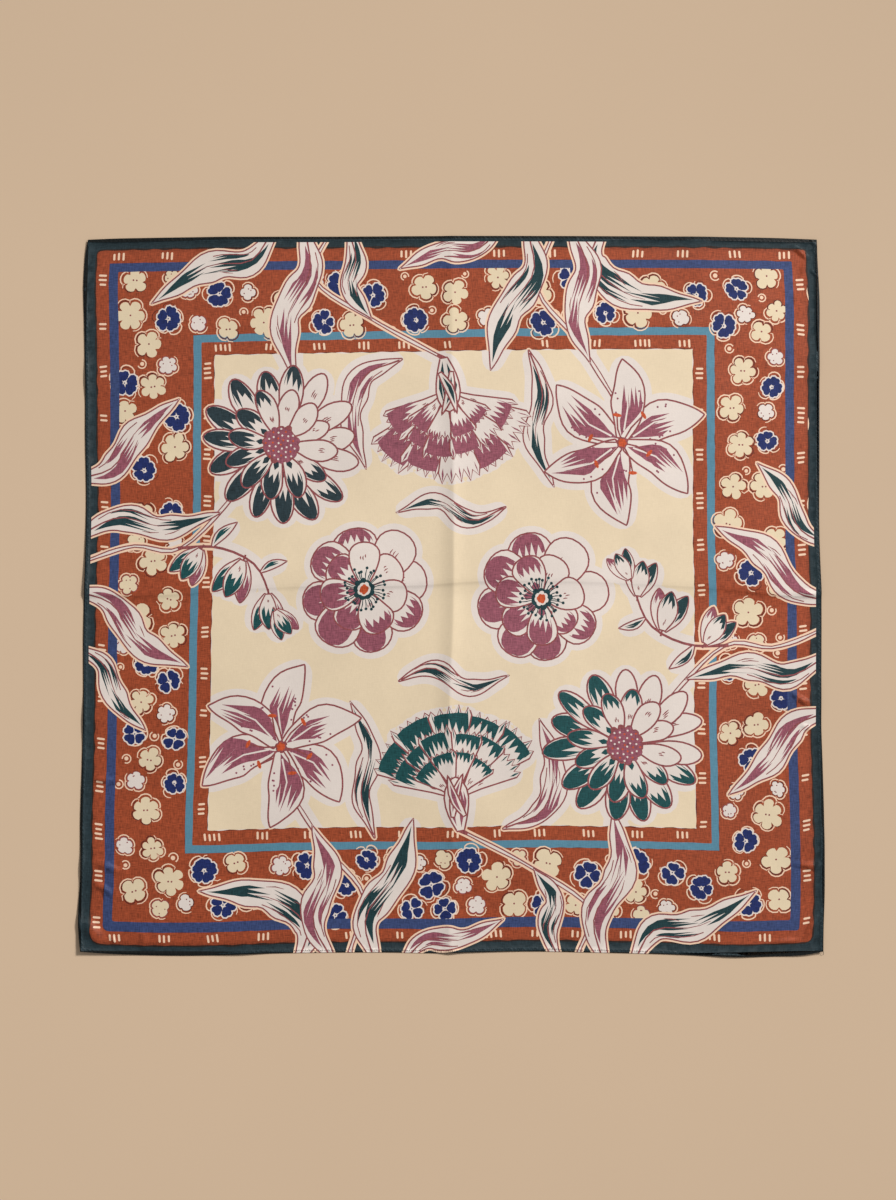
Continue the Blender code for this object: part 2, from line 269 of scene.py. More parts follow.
@dataclass(frozen=True)
class LaidCloth:
    """Turns the flat cut's coordinates, in millimetres from its middle, into places in the scene."""

    bottom_left: Pair = (-445.2, -425.4)
    bottom_right: Pair = (445.2, -425.4)
    top_left: Pair = (-436.2, 427.8)
    top_right: Pair = (437.4, 427.8)
    shift: Pair = (0.4, -0.1)

    def _edge(self, start: Pair, end: Pair, bow: Sequence[Knot],
              side: int, along: np.ndarray) -> Points:
        """Points of one laid edge, bowed out from the straight line between its corners.

        Args:
            start: first corner.
            end: last corner.
            bow: table of distances outward.
            side: 1 or -1, the way that is outward.
            along: fractions of the edge's length.

        Returns:
            A point for each fraction.
        """
        first, last = np.array(start), np.array(end)
        run = (last - first) / np.linalg.norm(last - first)
        outward = side * np.array((run[1], -run[0]))
        return first + np.outer(along, last - first) + np.outer(read_table(bow, along), outward)

    def plan(self, flat: Points) -> Points:
        """Where flat points lie, seen from above.

        Args:
            flat: points of the flat cut.

        Returns:
            Their places in plan, in millimetres, from a patch between the four laid edges.
        """
        u = flat[:, 0] / CUT_WIDTH + 0.5
        v = flat[:, 1] / CUT_LENGTH + 0.5
        bottom = self._edge(self.bottom_left, self.bottom_right, BOTTOM_BOW, 1, u)
        top = self._edge(self.top_left, self.top_right, TOP_BOW, -1, u)
        left = self._edge(self.bottom_left, self.top_left, LEFT_BOW, -1, v)
        right = self._edge(self.bottom_right, self.top_right, RIGHT_BOW, 1, v)
        u, v = u[:, None], v[:, None]
        corners = ((1 - u) * (1 - v) * np.array(self.bottom_left)
                   + u * (1 - v) * np.array(self.bottom_right)
                   + (1 - u) * v * np.array(self.top_left) + u * v * np.array(self.top_right))
        return (1 - v) * bottom + v * top + (1 - u) * left + u * right - corners + np.array(self.shift)

    def lift(self, flat: Points) -> np.ndarray:
        """Height of the cloth's underside above the surface at flat points.

        Args:
            flat: points of the flat cut.

        Returns:
            Millimetres above the surface.
        """
        height = sum(self._fold(fold, *flat.T) for fold in FOLDS)
        for wave in EDGE_WAVES:
            across, side = wave.edge.value
            inward = HALF_CUT[across] - side * flat[:, across]
            height = height + wave.rise * (bump((flat[:, 1 - across] - wave.at) / wave.half)
                                           * bump(inward / wave.reach))
        for curl in CORNER_CURLS:
            from_corner = (HALF_CUT - flat * (curl.s_side, curl.t_side)).sum(axis=1)
            height = height + curl.rise * np.clip(1.0 - from_corner / curl.reach, 0.0, 1.0) ** 2
        for pucker in PUCKERS:
            along, across = pucker.frame(flat).T
            height = height + pucker.rise * bump(along) * bump(across)
        return height

    @staticmethod
    def _fold(fold: Fold, s: np.ndarray, t: np.ndarray) -> np.ndarray:
        """Height that one fold adds: it rounds over at its line and runs out on both sides.

        Args:
            fold: the storage fold.
            s: first flat coordinates.
            t: second ones.

        Returns:
            Millimetres for each point.
        """
        if fold.upright:
            across, along, line, shares = s, t / CUT_LENGTH + 0.5, UPRIGHT_LINE, UPRIGHT_SHARES
        else:
            across, along, line, shares = t, s / CUT_WIDTH + 0.5, LEVEL_LINE, LEVEL_SHARES
        offset = across - read_table(line, along) - fold.offset
        reach = np.where(offset < 0, fold.low_side, fold.high_side)
        far = (np.hypot(offset, fold.round_top) - fold.round_top) / reach
        return fold.rise * read_table(shares, along) * np.clip(1.0 - far, 0.0, 1.0) ** FOLD_SHARPNESS

    def place(self, flat: Points, above: np.ndarray | float) -> Points:
        """Places flat points in the scene.

        Args:
            flat: points of the flat cut, in millimetres.
            above: height over the cloth's underside, in millimetres.

        Returns:
            Points in metres, in the frame of the model.
        """
        return np.column_stack((self.plan(flat), self.lift(flat) + above)) * MM


# ---- the print's inks and shapes ----
class Ink(Enum):
    """The print's flat colours, as display red, green and blue."""

    DARK_GREEN = (42, 57, 63)
    # Painted shade: the near-black strips along the cut's edges, where the rolled hem turns away from the
    # light.
    EDGE_GREEN = (20, 23, 23)
    # Partly the print's dark edge line and partly painted seam shadow: a dark line just outside the outer
    # rust band, along the hem.
    SEAM_SHADOW_UMBER = (56, 42, 37)
    RUST = (154, 72, 44)
    DEEP_RUST = (98, 42, 32)
    BLUE = (57, 71, 113)
    TEAL = (89, 136, 158)
    CREAM = (231, 211, 180)
    OFF_WHITE = (227, 215, 207)
    NAVY = (33, 45, 97)
    PEACH = (240, 206, 178)
    BUTTER = (227, 208, 176)
    PLUM = (146, 83, 97)
    OUTLINE = (142, 76, 78)
    LEAF_GREEN = (32, 60, 64)
    TEAL_GREEN = (30, 76, 78)
    ORANGE = (196, 84, 48)

    def linear(self) -> Triple:
        """The colour in linear light."""
        return tuple(((value / 255 + 0.055) / 1.055) ** 2.4 for value in self.value)


INKS = list(Ink)


class Zone(Enum):
    """Where on the cloth an area may print."""

    CLOTH = "right up to the edge"
    INSIDE = "inside the plain strip along the edge"
    FIELD = "on the cream field"
    BORDER = "on the borders, inside the plain strip"


class Shape(NamedTuple):
    """One flat-coloured area of the print."""

    outline: Points
    ink: Ink
    zone: Zone


def covered(outline: Points, x: np.ndarray, y: np.ndarray) -> tuple[int, int, np.ndarray]:
    """Finds the points in a closed outline, by the even-odd rule.

    Args:
        outline: its corners in order.
        x: the points' first coordinates.
        y: their second coordinates, in rising order.

    Returns:
        The first and one past the last point at its height, and which of those lie in it.
    """
    ends = np.roll(outline, -1, axis=0)
    first, last = np.searchsorted(y, (outline[:, 1].min(), outline[:, 1].max()))
    lows = np.searchsorted(y, np.minimum(outline[:, 1], ends[:, 1])) - first
    highs = np.searchsorted(y, np.maximum(outline[:, 1], ends[:, 1])) - first
    x, y = x[first:last], y[first:last]
    within = np.zeros(last - first, dtype=bool)
    for (x1, y1), (x2, y2), low, high in zip(outline, ends, lows, highs):
        if high > low:
            within[low:high] ^= x[low:high] < x1 + (y[low:high] - y1) * ((x2 - x1) / (y2 - y1))
    return first, last, within


@dataclass
class Artwork:
    """The whole print: bands, then halos, then motifs, each list in its order of printing."""

    bands: list[Shape] = field(default_factory=list)
    halos: list[Shape] = field(default_factory=list)
    motifs: list[Shape] = field(default_factory=list)
    field_edge: Points | None = None
    plain_strip: float = 6.6

    def band(self, outline: Points, ink: Ink) -> None:
        """Prints a part of the striped border."""
        self.bands.append(Shape(outline, ink, Zone.CLOTH))

    def shapes(self) -> list[Shape]:
        """Every area in its order of printing."""
        return self.bands + self.halos + self.motifs

    def ink_at(self, points: Points) -> np.ndarray:
        """Finds the ink that shows at each point.

        Args:
            points: places on the flat cut.

        Returns:
            The index into INKS of each.
        """
        order = np.argsort(points[:, 1])
        x, y = points[order].T
        shown = np.full(len(x), INKS.index(Ink.DARK_GREEN))
        first, last, within = covered(self.field_edge, x, y)
        on_field = np.zeros(len(x), dtype=bool)
        on_field[first:last] = within
        free = (np.abs(x) < HALF_WIDTH - self.plain_strip) & (y < HALF_LENGTH - self.plain_strip)
        masks = {Zone.CLOTH: np.ones(len(x), dtype=bool), Zone.INSIDE: free,
                 Zone.FIELD: on_field, Zone.BORDER: free & ~on_field}
        for shape in self.shapes():
            first, last, within = covered(shape.outline, x, y)
            within &= masks[shape.zone][first:last]
            shown[first:last][within] = INKS.index(shape.ink)
        inks = np.empty_like(shown)
        inks[order] = shown
        return inks


# ---- drawing tools ----
def turned(points: Points, degrees: float) -> Points:
    """Points turned anticlockwise about the origin.

    Args:
        points: rows of two coordinates.
        degrees: the angle.

    Returns:
        The turned rows.
    """
    angle = math.radians(degrees)
    matrix = np.array(((math.cos(angle), math.sin(angle)), (-math.sin(angle), math.cos(angle))))
    return np.asarray(points, dtype=float) @ matrix


def curve_through(knots: Sequence[Pair], count: int) -> Points:
    """Smooth open curve through a few points, sampled more closely at its ends.

    Args:
        knots: the points.
        count: how many points the curve gets.

    Returns:
        The curve's points, with both end knots.
    """
    p = np.asarray(knots, dtype=float)
    padded = np.vstack((2 * p[0] - p[1], p, 2 * p[-1] - p[-2]))
    stretches = len(p) - 1
    place = (0.5 - 0.5 * np.cos(np.pi * np.linspace(0, 1, count))) * stretches
    index = np.minimum(place.astype(int), stretches - 1)
    t = (place - index)[:, None]
    a, b, c, d = (padded[index + step] for step in range(4))
    return 0.5 * (2 * b + (c - a) * t + (2 * a - 5 * b + 4 * c - d) * t ** 2
                  + (3 * b - a - 3 * c + d) * t ** 3)


def unit_rows(vectors: np.ndarray) -> np.ndarray:
    """Each row of a table of vectors, scaled to a length of 1."""
    return vectors / np.maximum(np.linalg.norm(vectors, axis=1, keepdims=True), 1e-12)


def polar(radii: np.ndarray | float, angles: np.ndarray) -> Points:
    """Points about the origin, from their distances and their angles in radians."""
    return np.column_stack((radii * np.cos(angles), radii * np.sin(angles)))


def read_path(path: Points, places: np.ndarray, at: np.ndarray) -> Points:
    """Points between those of a path, which lie at the places given."""
    return np.column_stack([np.interp(at, places, path[:, k]) for k in (0, 1)])


def side_of(path: Points) -> Points:
    """Unit directions to the left of a path at each of its points."""
    run = unit_rows(np.gradient(path, axis=0))
    return np.column_stack((-run[:, 1], run[:, 0]))


def ribbon(path: Points, widths: np.ndarray | float) -> Points:
    """Closed outline of a stroke along a path, with its full width at each point.

    Args:
        path: points of the line.
        widths: one width, or one for each point.

    Returns:
        The outline's corners in order.
    """
    half = np.broadcast_to(np.asarray(widths, dtype=float) / 2, len(path))[:, None]
    side = side_of(path) * half
    return np.vstack((path - side, (path + side)[::-1]))


def grown(outline: Points, by: float) -> Points:
    """A closed anticlockwise outline moved outward by a small distance."""
    run = unit_rows(np.roll(outline, -1, axis=0) - np.roll(outline, 1, axis=0))
    return outline + by * np.column_stack((run[:, 1], -run[:, 0]))


def halo_of(outline: Points, by: float, spacing: float = 5.0, rounds: int = 2) -> Points:
    """A soft-cornered outline that lies outside a closed one by a distance.

    Args:
        outline: the inner line.
        by: the distance.
        spacing: length of its steps.
        rounds: how often its corners are softened.

    Returns:
        The outline's corners in order.
    """
    closed = np.vstack((outline, outline[:1]))
    places = np.concatenate(((0.0,), np.cumsum(np.linalg.norm(np.diff(closed, axis=0), axis=1))))
    at = np.linspace(0, places[-1], max(10, int(places[-1] / spacing)), endpoint=False)
    loop = grown(read_path(closed, places, at), by)
    for _ in range(rounds):
        loop = (np.roll(loop, 1, axis=0) + 2 * loop + np.roll(loop, -1, axis=0)) / 4
    return loop


def disc(x: float, y: float, radius: float, count: int = 8) -> Points:
    """A small circle."""
    angles = np.linspace(0, 2 * np.pi, count, endpoint=False)
    return (x, y) + polar(radius, angles)


def lobed(radius: float, lobes: int, depth: float, per_lobe: int, rng: Rng) -> Points:
    """A hand-drawn flower outline about the origin: round lobes that meet in notches.

    Args:
        radius: to the lobes' ends.
        lobes: how many.
        depth: share of the radius that the notches reach in.
        per_lobe: points for each lobe.
        rng: draws the lobes' unequal lengths and turns.

    Returns:
        The closed outline, anticlockwise.
    """
    across = np.linspace(-0.5, 0.5, per_lobe, endpoint=False)
    reach = (1 - depth) + depth * np.sqrt(np.clip(np.cos(np.pi * across), 0, 1))
    crown = 1 - 4 * across ** 2
    outline = []
    for lobe in range(lobes):
        angles = 2 * np.pi * (lobe + across + rng.uniform(-0.12, 0.12) * crown) / lobes
        radii = radius * reach * (1 + rng.uniform(-0.15, 0.10) * crown)
        outline.append(polar(radii, angles))
    return turned(np.vstack(outline), rng.uniform(0, 360))


@dataclass
class Blade:
    """A leaf or petal: a bent spine with a width that swells and closes to a tip."""

    knots: Sequence[Pair]
    width: float
    belly: float = 0.5
    point: float = 0.8
    foot: float = 0.15
    count: int = 12
    wave: float = 0.0
    phase: float = 0.0
    wave_length: float = 64.0

    def __post_init__(self) -> None:
        """Works out the spine once."""
        self.spine = curve_through(self.knots, self.count)
        steps = np.linalg.norm(np.diff(self.spine, axis=0), axis=1)
        self.length = float(steps.sum())
        self.along = np.concatenate(((0.0,), np.cumsum(steps))) / self.length
        self.side = side_of(self.spine)

    def half_width(self, along: np.ndarray) -> np.ndarray:
        """Half of the blade's width at fractions of its length.

        Args:
            along: fractions of the length.

        Returns:
            Millimetres for each fraction.
        """
        swell = self.foot + (1 - self.foot) * np.sin(np.clip(along / self.belly, 0, 1) * np.pi / 2)
        close = np.sin(np.clip((1 - along) / (1 - self.belly), 0, 1) * np.pi / 2) ** self.point
        return self.width / 2 * swell * close

    def within(self, places: Sequence[Pair]) -> Points:
        """Points of the blade from (along, across), across being -1 to 1 between its sides.

        Args:
            places: rows of along and across.

        Returns:
            Points in the brush's own coordinates.
        """
        along, across = np.asarray(places, dtype=float).T
        centre, side = (read_path(path, self.along, along) for path in (self.spine, self.side))
        return centre + side * (across * self.half_width(along))[:, None]

    def outline(self, by: float = 0.0) -> Points:
        """Closed anticlockwise outline, moved outward by a distance.

        Args:
            by: the distance.

        Returns:
            Its corners in order.
        """
        half = self.half_width(self.along)
        ripple = self.wave * np.sin(np.pi * self.along)
        beat = 2 * np.pi * self.length / self.wave_length * self.along + self.phase
        right = self.spine - self.side * (half + ripple * np.sin(beat))[:, None]
        left = self.spine + self.side * (half + ripple * np.sin(1.3 * beat + 2.0))[:, None]
        return grown(np.vstack((right, left[-2::-1])), by)


STREAK_SHARES = (0.0, 0.07, 0.16, 0.26, 0.37, 0.48, 0.56)
DIP_SHARES = (0.0, 0.28, 0.52, 0.72, 0.86, 0.95)


def streak(start: float, end: float, lean: float, fat: float, fingers: int,
           rng: Rng) -> list[Pair]:
    """A brush mark in a blade's own coordinates: a point that swells and breaks into fingers.

    Args:
        start: fraction along the blade where its point is.
        end: fraction where its longest finger ends.
        lean: where its middle lies across the blade.
        fat: half of its breadth across the blade.
        fingers: how many fingers it breaks into.
        rng: draws its bends and the fingers' lengths.

    Returns:
        Places (along, across) for Blade.within.
    """
    span = end - start
    phase, twist = rng.uniform(0, 6.3), rng.uniform(0.05, 0.16) * fat / 0.4
    shares = np.array(STREAK_SHARES)
    middle = lean + twist * np.sin(5.0 * shares + phase)
    breadth = fat * np.sin(np.pi / 2 * shares / shares[-1]) ** 0.8
    right, left = ([(start + span * s, m + side * w * rng.uniform(0.86, 1.0))
                    for s, m, w in zip(shares, middle, breadth)] for side in (1, -1))
    tips = []
    for finger in range(fingers):
        across = middle[-1] + fat * (1 - 2 * (finger + 0.5) / fingers)
        tips.append((start + span * rng.uniform(0.74, 1.0), across * rng.uniform(0.8, 1.0)))
        if finger < fingers - 1:
            tips.append((start + span * rng.uniform(0.42, 0.60), across - fat / fingers))
    return right + tips + left[:0:-1]


def dipped(start: float, fingers: int, rng: Rng,
           edge: float = 0.84) -> list[Pair]:
    """The inked end of a petal in a blade's own coordinates: solid at the tip, fingered toward the foot.

    Args:
        start: fraction along the petal where the ink begins at its sides.
        fingers: how many fingers reach toward the foot.
        rng: draws the fingers' lengths and the side that stays paler.
        edge: how far out toward the petal's sides the ink runs.

    Returns:
        Places (along, across) for Blade.within.
    """
    sides = [edge, edge - rng.uniform(0.04, 0.22)]
    if rng.random() < 0.5:
        sides.reverse()
    rise = start + (0.975 - start) * np.array(DIP_SHARES)
    places = [(along, -sides[0]) for along in rise] + [(0.985, -0.35), (0.985, 0.35)]
    places += [(along, sides[1]) for along in rise[::-1]]
    width = sides[0] + sides[1]
    for finger in range(fingers):
        across = sides[1] - width * (finger + 0.5) / fingers
        foot = start + 0.16 * (1 - abs(across))
        places.append((foot + rng.uniform(0.16, 0.34) * (1 - start), across + 0.34 * width / fingers))
        places.append((foot - rng.uniform(0.02, 0.16), across))
    places.append((start + rng.uniform(0.12, 0.26) * (1 - start), -sides[0] + 0.16 * width / fingers))
    return places


@dataclass
class Brush:
    """Draws into the artwork at a place, turned and scaled."""

    art: Artwork
    at: Pair = (0.0, 0.0)
    turn: float = 0.0
    scale: float = 1.0
    line: float = 1.7
    near_halo: float = 2.8
    wide_halo: float = 9.0

    def put(self, points: Points) -> Points:
        """Points of the motif on the flat cut."""
        return turned(np.asarray(points) * self.scale, self.turn) + np.array(self.at)

    def lay(self, points: Points, ink: Ink, zone: Zone = Zone.INSIDE) -> None:
        """Prints an area that is given in the motif's own coordinates."""
        self.art.motifs.append(Shape(self.put(points), ink, zone))

    def pen(self, path: Points, widths: np.ndarray | float, ink: Ink = Ink.OUTLINE,
            zone: Zone = Zone.INSIDE) -> None:
        """Prints a line along a path, with its full width at each point."""
        self.lay(ribbon(path, widths), ink, zone)

    def turned_by(self, degrees: float) -> "Brush":
        """The same brush with its own coordinates turned a little more."""
        return Brush(self.art, self.at, self.turn + degrees, self.scale)

    def moved(self, at: Pair, degrees: float, scale: float = 1.0) -> "Brush":
        """A brush at a place of the motif, turned a little more, with its own scale."""
        return Brush(self.art, tuple(self.put(at)), self.turn + degrees, scale)

    def surround(self, outline: Points) -> None:
        """Prints a motif's pale halo: narrow on the borders, wide and soft-white on the field."""
        outline = self.put(outline)
        self.art.halos += [Shape(halo_of(outline, self.wide_halo), Ink.OFF_WHITE, Zone.FIELD),
                           Shape(grown(outline, self.near_halo), Ink.PEACH, Zone.BORDER)]

    def stroke(self, knots: Sequence[Pair], width: float, ink: Ink, count: int, taper: float = 0.5) -> None:
        """Prints a line that thins toward both ends."""
        along = np.linspace(-1, 1, count)
        self.pen(curve_through(knots, count), width * (1 - taper * along ** 2), ink)

    def blade(self, blade: Blade, marks: Sequence[tuple[list[Pair], Ink]], zone: Zone = Zone.INSIDE,
              surround: bool = False) -> None:
        """Prints a petal or leaf: its surround, its outline, its fill and the brush marks on it.

        Args:
            blade: its shape.
            marks: places and colour of each mark.
            zone: where it may print.
            surround: whether it has one.
        """
        if surround:
            self.surround(blade.outline())
        self.lay(blade.outline(self.line / 2), Ink.OUTLINE, zone)
        self.lay(blade.outline(-self.line / 2), Ink.OFF_WHITE, zone)
        for places, ink in marks:
            self.lay(blade.within(places), ink, zone)

    def hatch(self, blade: Blade, along: float, across: float, count: int, rng: Rng) -> None:
        """Prints a few short pen strokes side by side on a petal.

        Args:
            blade: its shape.
            along: fraction of the length that they start at.
            across: their middle, from -1 to 1.
            count: number of strokes.
            rng: random draws.
        """
        for index in range(count):
            place = along + rng.uniform(-0.04, 0.04)
            side = across + 0.16 * (index - (count - 1) / 2)
            reach = rng.uniform(0.07, 0.13)
            line = blade.within([(place, side), (place + reach / 2, side + 0.03), (place + reach, side)])
            self.pen(line, np.array((0.5, 1.25, 0.5)))


# ---- the borders ----
class Inset(NamedTuple):
    """How far a band's edge lies in from each cut edge, at that edge's two ends."""

    left: Pair
    right: Pair
    top: Pair
    bottom: Pair


class Band(NamedTuple):
    """One step of the striped border: everything inside the inset takes the ink."""

    inset: Inset
    ink: Ink
    trims: tuple[tuple[Ink, float], ...]
    corners: tuple[float, float, float, float]
    wobble: float


SHARP = (1.0, 1.0, 1.0, 1.0)
BANDS = (
    # The outer rust band's dark trim is partly its printed edge line and partly painted seam shadow.
    Band(Inset((14.6, 15.2), (13.0, 14.4), (14.4, 13.2), (11.5, 15.5)), Ink.RUST,
         ((Ink.SEAM_SHADOW_UMBER, 1.7),), (11.0, 9.0, 2.0, 3.0), 0.6),
    Band(Inset((29.0, 30.6), (28.5, 31.2), (30.0, 27.5), (27.0, 30.6)), Ink.BLUE,
         ((Ink.DEEP_RUST, 0.2),), (8.0, 4.0, 1.0, 1.0), 0.3),
    Band(Inset((40.0, 41.4), (40.0, 41.4), (40.4, 37.2), (39.0, 43.0)), Ink.RUST, (),
         (3.0, 2.0, 1.0, 1.0), 0.3),
    Band(Inset((124.0, 131.0), (124.8, 126.0), (117.0, 107.5), (122.0, 126.0)), Ink.TEAL,
         ((Ink.DEEP_RUST, 0.3),), SHARP, 0.3),
    Band(Inset((133.0, 140.5), (133.5, 135.6), (126.0, 117.0), (131.5, 134.5)), Ink.RUST, (), SHARP, 0.3),
    Band(Inset((151.5, 156.0), (152.0, 152.4), (141.5, 134.5), (149.5, 152.0)), Ink.CREAM,
         ((Ink.DEEP_RUST, 0.9), (Ink.OFF_WHITE, 0.35)), SHARP, 0.6),
)
CHINKS = ((HALF_WIDTH, 365.0), (HALF_WIDTH, 210.0), (HALF_WIDTH, 111.0), (-29.0, -HALF_LENGTH))
CHINK_WIDTHS = 1.5 * np.array((0.1, 0.8, 1.0, 0.7, 0.1))


class TickRow(NamedTuple):
    """A row of tick groups: its distance from the edge, its spacing and the bands it lies between."""

    inset: float
    first: float
    pitch: float
    bands: tuple[int, int]


class Flower(Enum):
    """The kinds of small flower, each drawn by the BorderPrint method of its name."""

    CREAM = "butter-coloured, in a thin pale line that slips to one side"
    DOTTED = "small and off-white, with dots inside its edge"
    NAVY = "of parted navy petals on an off-white ground"
    RING = "a pale dot in a broken pale ring"


class FlowerLot(NamedTuple):
    """How many small flowers of one kind and size the wide band gets."""

    kind: Flower
    radius: float
    count: int


TICK_ROWS = (TickRow(21.6, 24.0, 56.0, (0, 1)), TickRow(142.6, 16.0, 53.0, (4, 5)))
FLOWER_LOTS = (FlowerLot(Flower.CREAM, 18.5, 24), FlowerLot(Flower.CREAM, 15.5, 34),
               FlowerLot(Flower.NAVY, 16.0, 46), FlowerLot(Flower.DOTTED, 12.0, 40),
               FlowerLot(Flower.RING, 6.0, 40))
PETAL_DROP = ((0.10, 0.0), (0.34, -0.62), (0.66, -1.0), (0.90, -0.86), (1.0, -0.42),
              (0.94, 0.0), (1.0, 0.46), (0.88, 0.9), (0.62, 1.0), (0.32, 0.6))


@dataclass
class BorderPrint:
    """The striped border with its ticks and its scattered small flowers."""

    art: Artwork
    seed: int = 11
    step: float = 4.0
    tick_length: float = 9.2
    tick_width: float = 2.5
    tick_pitch: float = 5.6
    flower_room: Pair = (41.0, 124.0)
    tries: int = 6000
    # Widths of the painted shade strips along the top edge and along the other three edges, in millimetres.
    top_shade: float = 3.2
    edge_shade: float = 1.4
    gap: float = 0.4

    def draw(self) -> None:
        """Prints the bands, then the small flowers, then the ticks."""
        rng = np.random.default_rng(self.seed)
        # Painted shade: near-black strips along the cut's edges where the rolled hem turns away from the
        # light, wider along the top.
        for low, high in (((-1, 1 - self.top_shade / HALF_LENGTH), (1, 1)),
                          ((-1, -1), (-1 + self.edge_shade / HALF_WIDTH, 1)),
                          ((1 - self.edge_shade / HALF_WIDTH, -1), (1, 1)),
                          ((-1, -1), (1, -1 + self.edge_shade / HALF_LENGTH))):
            box = np.array((low, (high[0], low[1]), high, (low[0], high[1])))
            self.art.band(box * HALF_CUT, Ink.EDGE_GREEN)
        outlines = []
        for band in BANDS:
            loop = self.loop(band)
            for ink, by in band.trims:
                self.art.band(self.wobbled(grown(loop, by), band.wobble, rng), ink)
            outline = self.wobbled(loop, band.wobble, rng)
            self.art.band(outline, band.ink)
            outlines.append(outline)
            if band is BANDS[0]:
                self.chinks(outline)
        self.art.field_edge = outlines[-1]
        self.scatter(rng)
        blue, inner = outlines[1:3]
        self.art.band(np.vstack((blue, blue[:1], inner, inner[:1])), Ink.BLUE)
        for row in TICK_ROWS:
            self.ticks(row, rng)

    def loop(self, band: Band) -> Points:
        """A band's outer edge, anticlockwise from the bottom left, with small round corners.

        Args:
            band: the band's row.

        Returns:
            The line's points in order.
        """
        left, right, top, bottom = band.inset
        corners = CORNERS * (HALF_CUT - ((left[0], bottom[0]), (right[0], bottom[1]), (right[1], top[1]),
                                         (left[1], top[0])))
        points = []
        for corner, before, after, radius, next_radius in zip(
                corners, np.roll(corners, 1, axis=0), np.roll(corners, -1, axis=0), band.corners,
                np.roll(band.corners, -1)):
            back, ahead = unit_rows(np.array((before - corner, after - corner)))
            for t in (0.0, 0.25, 0.5, 0.75, 1.0):
                points.append(corner + radius * (back * (1 - t) ** 2 + ahead * t ** 2))
            length = np.linalg.norm(after - corner)
            for place in np.arange(radius + self.step, length - next_radius - self.step / 2, self.step):
                points.append(corner + ahead * place)
        return np.array(points)

    @staticmethod
    def wobbled(loop: Points, size: float, rng: Rng) -> Points:
        """The loop with the unevenness of a hand-drawn edge.

        Args:
            loop: closed line.
            size: how far it strays.
            rng: random draws.

        Returns:
            The uneven line.
        """
        place = np.arange(len(loop))
        waves = sum(rng.uniform(0.4, 1.0) * np.sin(place * rng.uniform(0.35, 1.3) + rng.uniform(0, 6.3))
                    for _ in range(5))
        return grown(loop, 0.0) + (grown(loop, 1.0) - loop) * (size * waves / 2)[:, None]

    def chinks(self, outline: Points) -> None:
        """Prints the few short gaps where pale ground shows along the outer band's edge.

        Args:
            outline: the band's outer edge.
        """
        for place in CHINKS:
            near = int(np.argmin(np.linalg.norm(outline - place, axis=1)))
            path = np.roll(grown(outline, 0.5), 2 - near, axis=0)[:len(CHINK_WIDTHS)]
            self.art.band(ribbon(path, CHINK_WIDTHS), Ink.PEACH)

    def ticks(self, row: TickRow, rng: Rng) -> None:
        """Prints a row of tick groups along all four sides, at one distance from the edge.

        Args:
            row: the groups and their place.
            rng: random draws.
        """
        for turn, edge in ((0, Edge.BOTTOM), (90, Edge.RIGHT), (180, Edge.TOP), (270, Edge.LEFT)):
            half, reach = HALF_CUT if turn % 180 == 0 else HALF_CUT[::-1]
            place = -half + row.inset + row.first + rng.uniform(-6, 6)
            while place < half - row.inset - row.first / 2:
                drift = self.drift(row, edge, place / half)
                count = rng.choice((3, 3, 3, 3, 3, 2, 4))
                lean = rng.uniform(-0.7, 0.7)
                for tick in range(count):
                    x = place + (tick - (count - 1) / 2) * (self.tick_pitch + rng.uniform(-0.4, 0.4))
                    y = -reach + drift + rng.uniform(-0.6, 0.6)
                    length = self.tick_length * rng.uniform(0.82, 1.08) / 2
                    bar = ribbon(np.array(((x - lean, y - length), (x - lean * 0.6, y - length * 0.8),
                                           (x + lean * 0.6, y + length * 0.8), (x + lean, y + length))),
                                 self.tick_width * np.array((0.45, 1.0, 1.0, 0.45)))
                    self.art.band(turned(bar, turn), Ink.PEACH)
                place += row.pitch + rng.uniform(-7, 7)

    @staticmethod
    def drift(row: TickRow, edge: Edge, along: float) -> float:
        """Where a tick row lies between its two bands, which aren't quite parallel to the cut.

        Args:
            row: the tick row.
            edge: side of the cloth.
            along: place along that side.

        Returns:
            Its distance from the edge.
        """
        share = (along + 1) / 2
        order = -1 if edge in (Edge.TOP, Edge.LEFT) else 1
        ends = [getattr(BANDS[band].inset, edge.name.lower())[::order] for band in row.bands]
        return float(np.mean([first * (1 - share) + last * share for first, last in ends]))

    def scatter(self, rng: Rng) -> None:
        """Fills the wide band with flowers of mixed kinds and sizes that keep clear of each other.

        Args:
            rng: random draws.
        """
        flowers = [lot for lot in FLOWER_LOTS for _ in range(lot.count)]
        placed: list[Triple] = []
        low, high = self.flower_room
        for lot in sorted(flowers, key=lambda lot: -lot.radius):
            radius = lot.radius * rng.uniform(0.86, 1.12)
            crowd = rng.choice((0.2, 0.5, 0.8, 0.9))
            for _ in range(self.tries):
                x = rng.uniform(low - HALF_WIDTH, HALF_WIDTH - low)
                y = rng.uniform(low - HALF_LENGTH, HALF_LENGTH - low)
                depth = min(HALF_WIDTH - abs(x), HALF_LENGTH - abs(y))
                if not low + radius * crowd < depth < high - radius * 0.7:
                    continue
                if all((x - a) ** 2 + (y - b) ** 2 > (radius + c + self.gap) ** 2 for a, b, c in placed):
                    placed.append((x, y, radius))
                    getattr(self, lot.kind.name.lower())(np.array((x, y)), radius, rng)
                    break

